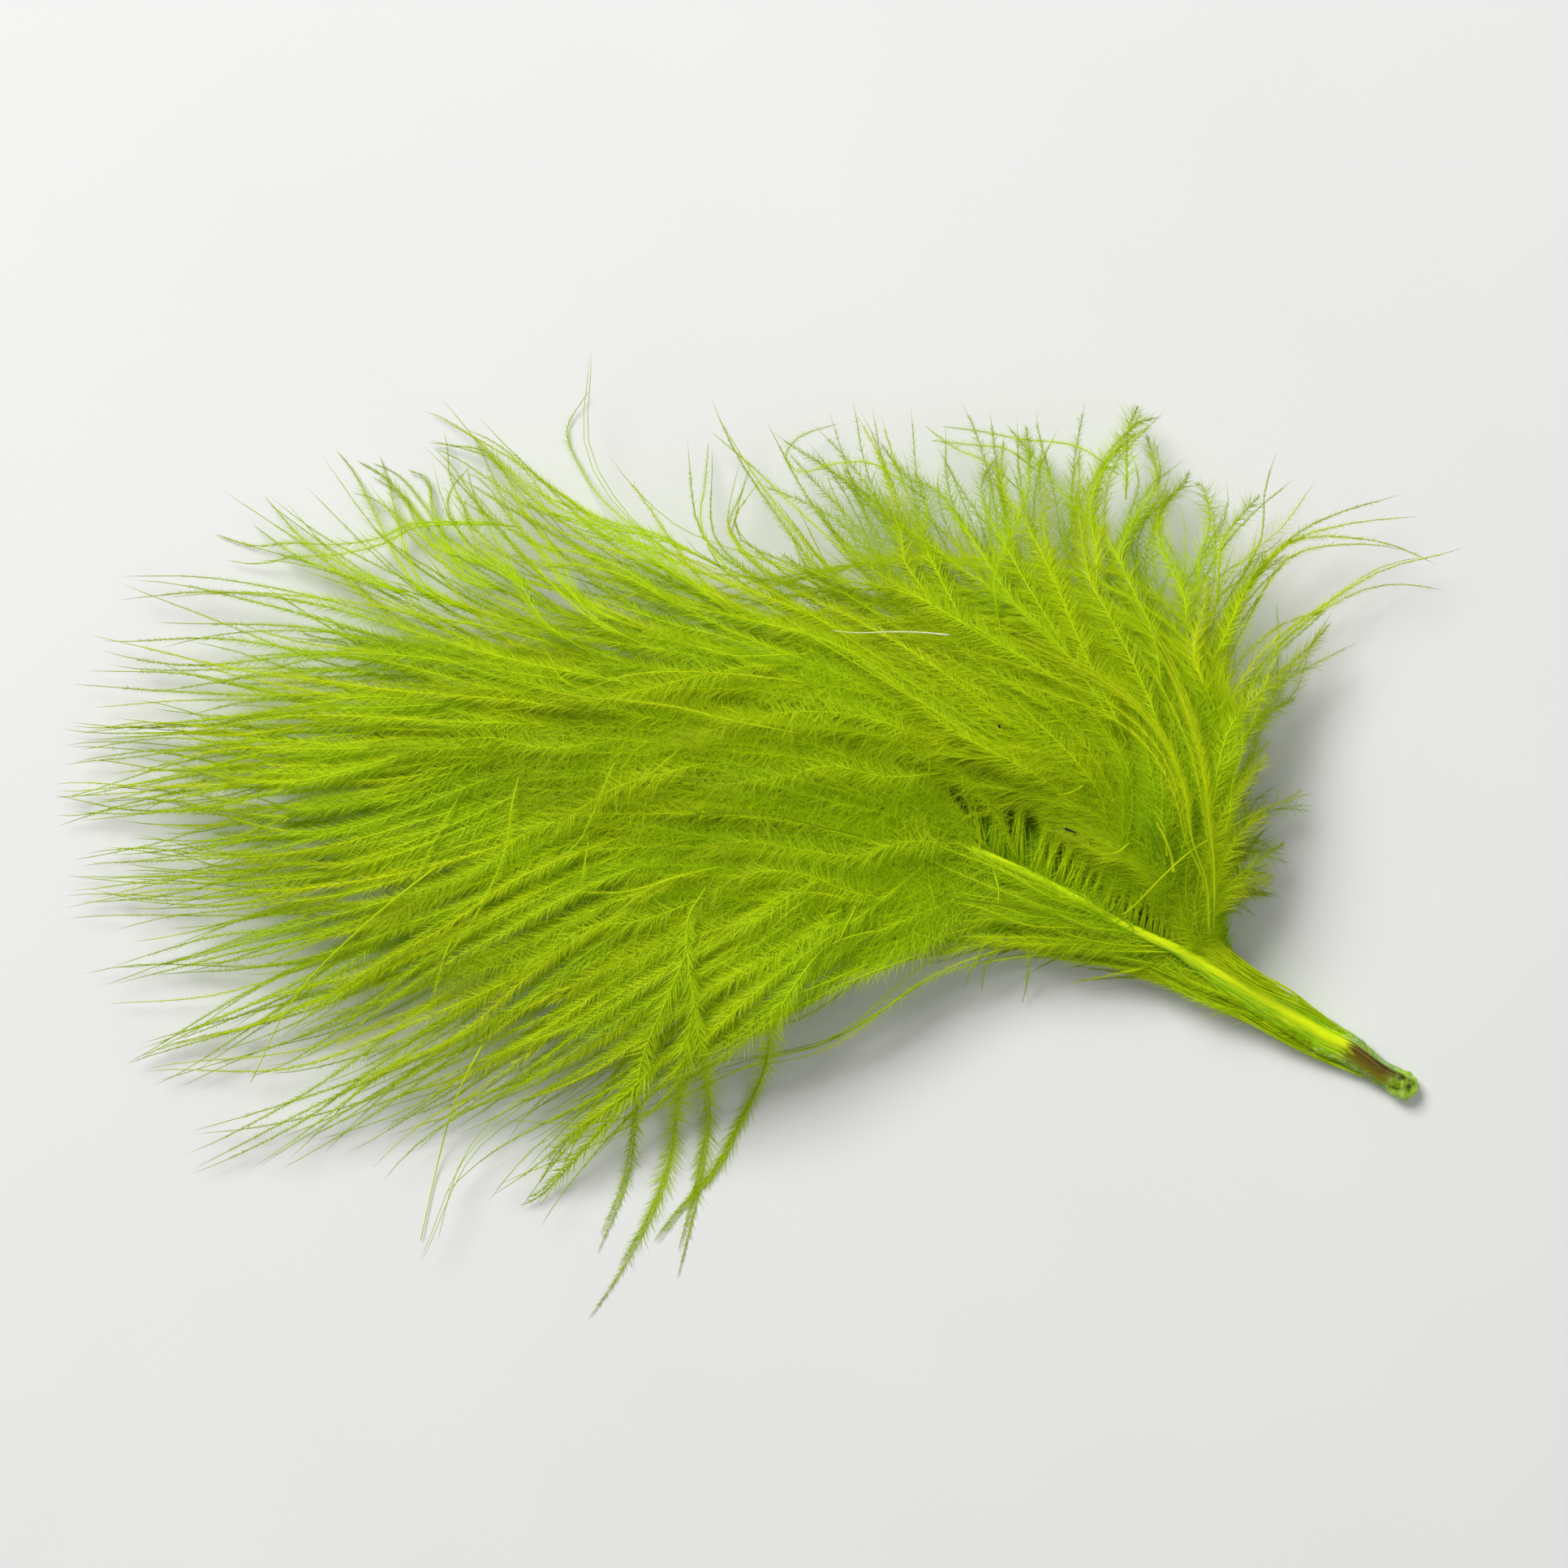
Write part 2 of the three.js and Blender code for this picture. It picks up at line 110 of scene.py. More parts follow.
# The zones of locks. Crest, tip, width and depth are those of the first and the last lock. Taper is how
# full a lock stays, barbs how many it has, and fluff how long their barbules are. Its barbs wander,
# hook at their ends and fall short of its tip by the numbers given. A run starts with the x at which
# the lock leaves the shaft and lists the points that it passes through to its tip.
ZONES = [
    {
        "name": "right_fan", "crest": (3.8, 8.0), "tip": (1.6, 3.2), "width": (1.8, 3.2),
        "depth": (1.0, 1.5), "taper": 1.1, "barbs": 9, "fluff": 1.7, "bare": 0.03, "wander": 0.6,
        "hook": 1.0, "short": 0.45, "brush": 0.12, "lean": 52.0, "tousle": 12.0, "thick": 1.1, "step": 1.9,
        "runs": [
            [25.3, (25, -4.7), (26.5, -3), (29.5, -2.2)],
            [25.2, (24.9, -3.6), (26.3, -1.5), (30, -0.1)],
            [25.1, (24.9, -3), (26.5, -0.3), (28.4, 1.3), (31.4, 2.4)],
            [25.1, (24.8, -2.6), (26.4, 0.8), (27.5, 3), (29, 5.4)],
            [24.9, (24.7, -1), (26, 3.6), (28, 6.3), (30.3, 7.9), (31.9, 10.4)],
            [24.6, (24.6, 0), (26, 5.5), (28.4, 8.4), (30.8, 10.3), (33.1, 12.4)],
            [23.4, (24.1, 3), (24.8, 9.6), (26.8, 14.4), (29.9, 17.4), (31.6, 20.2)],
        ],
    },
    {
        "name": "right_wisps", "crest": (7.6, 8.2), "tip": (2.6, 3.2), "width": (1.6, 2.4),
        "depth": (1.0, 1.4), "taper": 0.8, "barbs": 3, "fluff": 1.4, "bare": 0.04, "thin": 0.6,
        "wander": 0.5, "hook": 0.8, "short": 0.9, "brush": 0.4, "lean": 36.0, "thick": 1.8, "step": 1.4,
        "runs": [
            [24.3, (24.5, 1), (25.8, 5.6), (27.8, 9.5), (31.5, 12.4), (35.5, 14.4), (40.1, 14.6)],
            [24, (24.4, 2), (25.2, 8), (26.7, 12.4), (29.7, 16.3), (34.2, 16.6), (38.7, 15.4)],
            [23.7, (24.2, 2.5), (25.1, 8.4), (26.7, 13), (29.7, 16.9), (33, 18.2), (37.5, 18.9)],
            [23.4, (24, 2.8), (24.9, 9), (26.4, 14), (29, 16.6), (30.3, 19), (31.4, 20.3)],
            [23.1, (23.9, 3), (24.3, 10.2), (25.4, 15.4), (27.4, 18.4), (29.8, 20.9)],
        ],
    },
    {
        "name": "crown", "crest": (8.6, 7.2), "tip": (4.2, 3.4), "width": (3.0, 3.6), "depth": (1.6, 1.8),
        "taper": 1.3, "barbs": 7, "fluff": 1.7, "bare": 0.04, "thin": 0.65, "wander": 0.7, "hook": 1.6,
        "short": 0.45, "brush": 0.14, "lean": 52.0, "splay": 34.0, "tousle": 12.0, "thick": 1.4,
        "step": 1.08,
        "runs": [
            [22.8, (23.6, 3), (23.8, 10.4), (25.2, 15.6), (25.6, 18.6), (25, 20.3)],
            [22.5, (23.3, 3), (22.9, 11), (22.4, 16.4), (23, 19), (24.7, 20.9)],
            [22.1, (23, 3), (21.6, 11), (20.9, 16.2), (22.3, 19.8), (22, 22.9)],
            [21.7, (22.7, 3), (20.6, 11), (19, 17), (20, 21.3), (23.1, 24.1)],
            [21.3, (22.3, 3), (19.8, 11), (18.2, 16.8), (18.2, 20.8), (19.2, 24.5)],
            [20.9, (22, 3), (19, 10.6), (16.8, 16), (16.2, 20.4), (16.3, 23.5)],
            [20.4, (21.6, 3), (18, 10.5), (15.6, 16), (15.3, 20), (14.2, 23.7)],
            [19.9, (21.2, 3), (17.2, 10.5), (14.5, 16), (13.6, 20.4), (13, 24.8)],
            [19.6, (21, 3), (16.7, 10.3), (13.7, 15.8), (12.2, 19.6), (11.6, 21.8)],
            [19.4, (20.8, 3), (16.2, 10.2), (12.8, 15.8), (11, 19.6), (10.2, 23.3)],
            [18.9, (20.3, 3), (15, 10), (11, 15.6), (8.8, 19.6), (7.8, 24.6)],
            [18.4, (19.8, 3), (14, 10), (9.4, 15.4), (7.2, 19.8), (4.8, 24.5)],
            [17.9, (19.3, 3), (13, 9.8), (8.2, 15), (5.6, 19.3), (2.4, 24.1)],
            [17.4, (18.8, 3), (12, 9.5), (7.4, 14.6), (4.8, 18.6), (1.5, 22.5)],
        ],
    },
    {
        "name": "upper_sweep", "crest": (7.4, 5.4), "tip": (3.2, 1.0), "width": (3.8, 3.8),
        "depth": (1.7, 1.5), "taper": 1.0, "barbs": 7, "fluff": 1.2, "bare": 0.07, "thin": 0.65,
        "wander": 0.8, "hook": 1.0, "short": 0.3, "ramus": 1.1, "lean": 42.0, "thick": 1.7, "brush": 0.3,
        "runs": [
            [17, (18, 3), (10.5, 9.5), (4.2, 15.4), (0, 19.8), (-3.2, 24.4)],
            [16.3, (17, 3.4), (9, 9.8), (2.8, 14), (-1.4, 17), (-0.4, 21)],
            [15.8, (16.4, 3.4), (8, 9.6), (1, 13.6), (-3, 16.8), (-3, 22.4)],
            [14.6, (14.5, 3.6), (6, 9.6), (-2, 13), (-9, 16.9), (-14.3, 20.6), (-18.7, 24.3)],
            [13.6, (13, 3.6), (5, 9.3), (-3.5, 12.3), (-10.5, 15.5), (-14.8, 19), (-18.8, 22.4)],
            [12.6, (11.5, 3.8), (3.5, 9), (-5, 11.6), (-12, 14.6), (-16, 18), (-17.4, 21.6)],
            [11.4, (10, 4), (2, 8.7), (-6, 10.8), (-13.4, 13.9), (-19.3, 18)],
            [10, (8, 4.2), (0.5, 8.3), (-8, 10.2), (-16, 13.2), (-20.9, 17), (-24, 22)],
            [8.5, (6, 4.6), (-1, 8), (-10, 9.8), (-18, 13), (-24, 16.3), (-28, 19.3)],
            [7, (4, 4.9), (-3, 7.8), (-12, 9.6), (-20, 12.9), (-25.8, 15.6), (-31, 17.4)],
            [5, (2, 5.2), (-5, 7.5), (-14, 9.2), (-24, 12.2), (-31, 13.7), (-36.3, 14.4)],
            [3, (0, 5.4), (-7, 7.3), (-16, 8.7), (-25, 10.7), (-31, 11.9), (-37.3, 12.5)],
            [0, (-3, 5.6), (-10, 7.2), (-18, 8.3), (-27, 9.7), (-38.1, 10.8)],
            [-3, (-6, 5.8), (-13, 6.9), (-22, 7.6), (-30, 8.2), (-39, 8.9)],
        ],
    },
    {
        "name": "tip_fan", "crest": (5.2, 5.2), "tip": (0.9, 0.7), "width": (3.8, 3.8), "depth": (1.4, 1.4),
        "taper": 0.95, "barbs": 12, "fluff": 1.1, "bare": 0.08, "thin": 0.55, "wander": 0.6, "hook": 0.6,
        "short": 0.22, "ramus": 1.1, "lean": 38.0, "thick": 1.8, "step": 1.15, "brush": 0.35,
        "runs": [
            [-6, (-12, 6.2), (-21, 6.2), (-30, 6.5), (-39.1, 6.6)],
            [-9, (-14, 5.5), (-23, 5.1), (-31, 5.1), (-39.6, 4.8)],
            [-12, (-17, 4.7), (-25, 3.8), (-32, 3.4), (-40.1, 3.2)],
            [-12.5, (-18, 3.9), (-25, 2.6), (-33, 1.8), (-40, 1.2)],
            [-10, (-15, 3), (-22, 0.9), (-30, -0.5), (-39, -0.6)],
            [-8, (-13, 2.4), (-20, 0), (-29, -1.7), (-39.4, -2.6)],
            [-5.4, (-11, 1.8), (-18, -1), (-27, -2.9), (-39.4, -3.9)],
        ],
    },
    {
        "name": "lower_sweep", "crest": (5.2, 6.2), "tip": (0.7, 1.2), "width": (4.0, 3.6),
        "depth": (1.4, 1.6), "taper": 0.95, "barbs": 9, "fluff": 1.2, "bare": 0.08, "thin": 0.55,
        "wander": 0.7, "hook": 0.7, "short": 0.25, "ramus": 1.1, "lean": 42.0, "thick": 1.7, "brush": 0.35,
        "runs": [
            [-4, (-9, 1), (-16, -1.8), (-26, -4.6), (-36.8, -7.3)],
            [-2, (-8, 0.2), (-15, -2.8), (-25, -6.3), (-38.2, -8.8)],
            [-1, (-7, -0.1), (-14, -3.1), (-23, -8), (-29, -11.2), (-35, -14)],
            [0.5, (-6, -0.4), (-13, -3.3), (-22, -7), (-29, -9.7), (-36, -13)],
            [2, (-4, -1), (-11, -4.5), (-20, -9.3), (-27, -12.4), (-34.8, -14.2)],
            [4, (-2, -1.5), (-9, -5.5), (-17, -10.8), (-25, -15.2), (-32.7, -18.1)],
            [5.5, (0, -2), (-7, -6.3), (-15, -11.4), (-21, -14.6), (-28.2, -18.9)],
            [6.7, (1.5, -2.6), (-5, -7), (-13, -12.2), (-18, -15), (-23.2, -17.4)],
            [8, (3, -3), (-4, -7.6), (-12, -13), (-17.4, -16), (-21.6, -19.3)],
            [9.6, (5, -3.7), (-2, -8.8), (-9, -14), (-13.4, -17.6), (-17.2, -21.2)],
            [11, (6, -4), (-1, -9.3), (-7, -14.5), (-10.8, -18.5), (-13.6, -21.1)],
        ],
    },
    {
        "name": "lower_edge", "crest": (5.2, 2.4), "tip": (1.2, 1.2), "width": (3.4, 1.8),
        "depth": (1.6, 0.9), "taper": 1.1, "barbs": 9, "fluff": 0.9, "wander": 0.45, "hook": 0.6,
        "short": 0.35, "lean": 42.0, "thick": 1.2,
        "runs": [
            [14.5, (10, -4), (4, -6.8), (-2, -10.8), (-8, -14.4), (-13, -17.8)],
            [16.5, (12, -4.4), (6, -6.2), (0, -10), (-6, -12.9), (-12.5, -16.2)],
            [22, (18, -5.2), (12, -4.8), (6.5, -6), (1.6, -9.4)],
            [25, (21.5, -6.3), (17, -5.7), (13, -5.8), (9.4, -7)],
            [30, (26, -8.5), (22, -6.9), (17.5, -6.2)],
        ],
    },
    {
        "name": "under_shaft", "crest": (4.8, 4.4), "tip": (3.0, 3.0), "width": (3.4, 3.0),
        "depth": (1.2, 1.2), "taper": 1.3, "barbs": 9, "fluff": 0.9, "bare": 0.04, "wander": 0.6,
        "hook": 1.4, "short": 0.35,
        "runs": [
            [20.5, (17, -4), (12, -2.2), (7, -0.6), (2, -1.6)],
            [23, (19.5, -5.2), (14.5, -3.8), (9, -3.2), (3.5, -4.2)],
        ],
    },
]

# More barbs, with no soft ones to fill them: three stray wisps, dark barbs under the bare stretch of
# the shaft, whose deep green is partly painted shade, those that hug the quill on both sides before
# they part from it, those that rise from its end and arch to the left, and those that cover the shaft.
LAYERS = [
    {
        "name": "strays", "crest": (7.0, 3.6), "tip": (3.0, 0.9), "width": (4.4, 1.2), "depth": (1.6, 0.7),
        "taper": 0.5, "barbs": 3, "fluff": 0.9, "bare": 0.3, "wander": 0.4, "hook": 0.4, "short": 0.25,
        "ramus": 0.9, "thick": 0.8, "step": 1.6,
        "runs": [
            [15.5, (16, 3.6), (7.5, 9.8), (0.6, 14.2), (-5.4, 16.9), (-9.3, 21.6), (-9.6, 27.6)],
            [9, (4, -3.3), (-3, -8.2), (-11, -13.8), (-16, -17.8), (-18.7, -24.4)],
            [19, (15, -5.6), (9.5, -7.9), (4.4, -11.3), (-2, -13.2), (-8.5, -15.7)],
        ],
    },
    # The nest's deep green tone is partly painted shade of the hollow under the shaft.
    {
        "name": "nest", "crest": (3.6, 3.8), "tip": (3.2, 3.4), "width": (3.8, 4.0), "depth": (0.3, 0.3),
        "taper": 2.4, "barbs": 24, "fluff": 2.0, "bare": 0.0, "wander": 0.5, "hook": 0.6, "short": 0.3,
        "splay": 12.0, "ramus": 0.7, "upper": 1.0, "root_gap": 3.0, "tone": (0.09, 0.22), "thick": 3.4,
        "step": 1.3,
        "runs": [
            [25.6, (23.6, -4.4), (19.5, -2), (14.5, -0.2), (9, 1.4), (4, 2.6)],
            [26.2, (24.4, -3.6), (20.6, -0.8), (15.5, 1), (9.5, 2.6), (4.5, 3.6)],
            [26.4, (24.8, -2.6), (21.6, 0.8), (17, 2.6), (10.5, 4), (5, 4.6)],
            [25, (22.6, -5), (18, -3.2), (13, -1.4), (7, 0.4), (3, 1.2)],
        ],
    },
    {
        "name": "edge", "crest": (2.6, 3.9), "tip": (1.8, 2.6), "width": (0.5, 1.1), "depth": (0.3, 0.4),
        "taper": 1.2, "barbs": 14, "fluff": 1.6, "bare": 0.05, "wander": 0.22, "hook": 0.9, "short": 0.3,
        "splay": 30.0, "lean": 24.0, "ramus": 0.85, "upper": 0.9, "root_gap": 2.4, "start": 0.4,
        "aside": 0.8,
        "runs": [
            [31, (28.9, -8.5), (27, -7.2), (26.1, -6.3), (25.8, -5.2), (25.8, -4.3), (26.7, -3.1),
             (29.6, -2.4)],
            [32, (29, -8.6), (26.9, -7.2), (25.8, -6), (25.4, -4.4), (26.1, -1.9), (29.8, -0.2)],
            [33.4, (30.3, -9.3), (27.5, -7.6), (25.7, -6.1), (25, -4.4), (24.9, -1.4), (26.6, 2.6),
             (29.2, 4.6)],
            [29.4, (27.5, -7.6), (25.9, -6.2), (25.2, -4.6), (24.8, -2.2), (24.9, 2), (25.9, 6.8),
             (28.2, 9.2)],
        ],
    },
    {
        "name": "flank", "crest": (2.5, 1.9), "tip": (2.6, 0.9), "width": (1.1, 0.8), "depth": (0.3, 0.3),
        "taper": 1.3, "barbs": 16, "fluff": 1.5, "bare": 0.06, "wander": 0.3, "hook": 0.7, "short": 0.4,
        "splay": 35.0, "lean": 14.0, "ramus": 0.85, "upper": 0.9, "root_gap": 3.0, "start": 0.42,
        "aside": -0.8,
        "runs": [
            [30.5, (27.4, -9.2), (24.4, -7.9), (21.4, -6.5), (17.6, -5.6), (13, -5), (8, -5.2)],
            [32, (28.8, -10.2), (25.6, -8.6), (22, -7), (18.2, -6.1), (14, -5.7), (9.6, -6.4)],
            [33.4, (30, -10.9), (26.8, -9.3), (23.2, -7.7), (19.2, -6.6), (15.2, -6.2), (12, -6.9)],
            [34.4, (31, -11.5), (28, -10), (25, -8.6), (21, -7.3), (17.2, -6.8), (14.4, -7.5)],
        ],
    },
    # The arch's high, yellow tones are partly painted highlight along its crest.
    {
        "name": "arch", "crest": (6.2, 9.0), "tip": (5.0, 5.6), "width": (1.2, 5.4), "depth": (0.4, 0.6),
        "taper": 1.6, "barbs": 11, "fluff": 2.1, "bare": 0.04, "wander": 0.7, "hook": 0.8, "short": 0.55,
        "splay": 50.0, "lean": 32.0, "tousle": 14.0, "ramus": 0.65, "upper": 1.0, "root_gap": 1.4,
        "step": 0.76, "tone": (0.55, 1.0), "thick": 1.1,
        "runs": [
            [23.8, (23.4, -3.2), (21.6, -1), (19.2, 0.4), (17.4, 1.2), (14.6, 2.4), (11, 3.2)],
            [24.2, (23.9, -2.6), (22.8, 0.2), (19, 2.4), (13.2, 3.9), (6, 4.4), (-2, 5.6)],
            [24.4, (24.2, -2.2), (23.4, 1.6), (19.2, 4.4), (12.2, 5.8), (4, 6.5), (-5, 7.4), (-13, 8.2)],
            [24.8, (24.6, -1), (23.8, 3.2), (19.5, 6.6), (12, 8.2), (3, 8.8), (-7, 9.2), (-16, 9.8)],
            [25, (24.9, -0.4), (23.8, 5.4), (19.2, 9), (11, 10.9), (2, 11.2), (-8, 11.4)],
            [25.2, (25, 0.4), (24, 7.6), (19.4, 11.4), (11.5, 13.4), (3, 13.8), (-5, 13.6)],
        ],
    },
    {
        "name": "cover", "crest": (7.6, 5.9), "tip": (3.6, 3.2), "width": (3.6, 3.8), "depth": (0.5, 0.6),
        "taper": 1.4, "barbs": 10, "fluff": 1.8, "bare": 0.06, "wander": 0.9, "hook": 0.8, "short": 0.5,
        "splay": 60.0, "lean": 52.0, "tousle": 30.0, "ramus": 0.4, "upper": 1.0, "root_gap": 1.0,
        "step": 0.76, "thick": 1.2,
        "runs": [
            [14.8, (12.6, 3), (8, 6.4), (0, 8.2), (-9, 9), (-17, 9.6), (-25, 10.4)],
            [13.6, (11, 1.4), (6, 4.4), (-2, 6.2), (-10, 6.9), (-18, 7), (-27, 7.2)],
            [13.3, (10.6, 1), (5, 3.7), (-3, 5.4), (-11, 6), (-19, 5.8), (-28, 5.6)],
            [13, (10, 0.6), (4, 3), (-4, 4.4), (-12, 4.6), (-20, 4.2), (-29, 3.6)],
            [12.8, (9.4, -0.6), (3, 1.4), (-5, 2.6), (-13, 2.9), (-21, 2.1), (-30, 1.2)],
            [12.6, (9, -1.6), (2.6, -0.4), (-5, 0.5), (-13, 0.2), (-21, -1.3), (-29, -2.6)],
            [12.4, (8.6, -2.8), (2, -2.4), (-6, -2.2), (-13, -3.4), (-20, -5.4), (-27, -7.4)],
            [12.6, (8.8, -3.4), (2, -3.7), (-6, -4.4), (-14, -6.2), (-21, -9), (-28, -12)],
            [12.8, (9, -4), (3, -4.8), (-4, -5.4), (-11, -7.2), (-18, -9.8)],
            [12.9, (9.2, -4.6), (3.4, -5.8), (-3, -7.2), (-10, -9.8), (-16, -13)],
        ],
    },
]

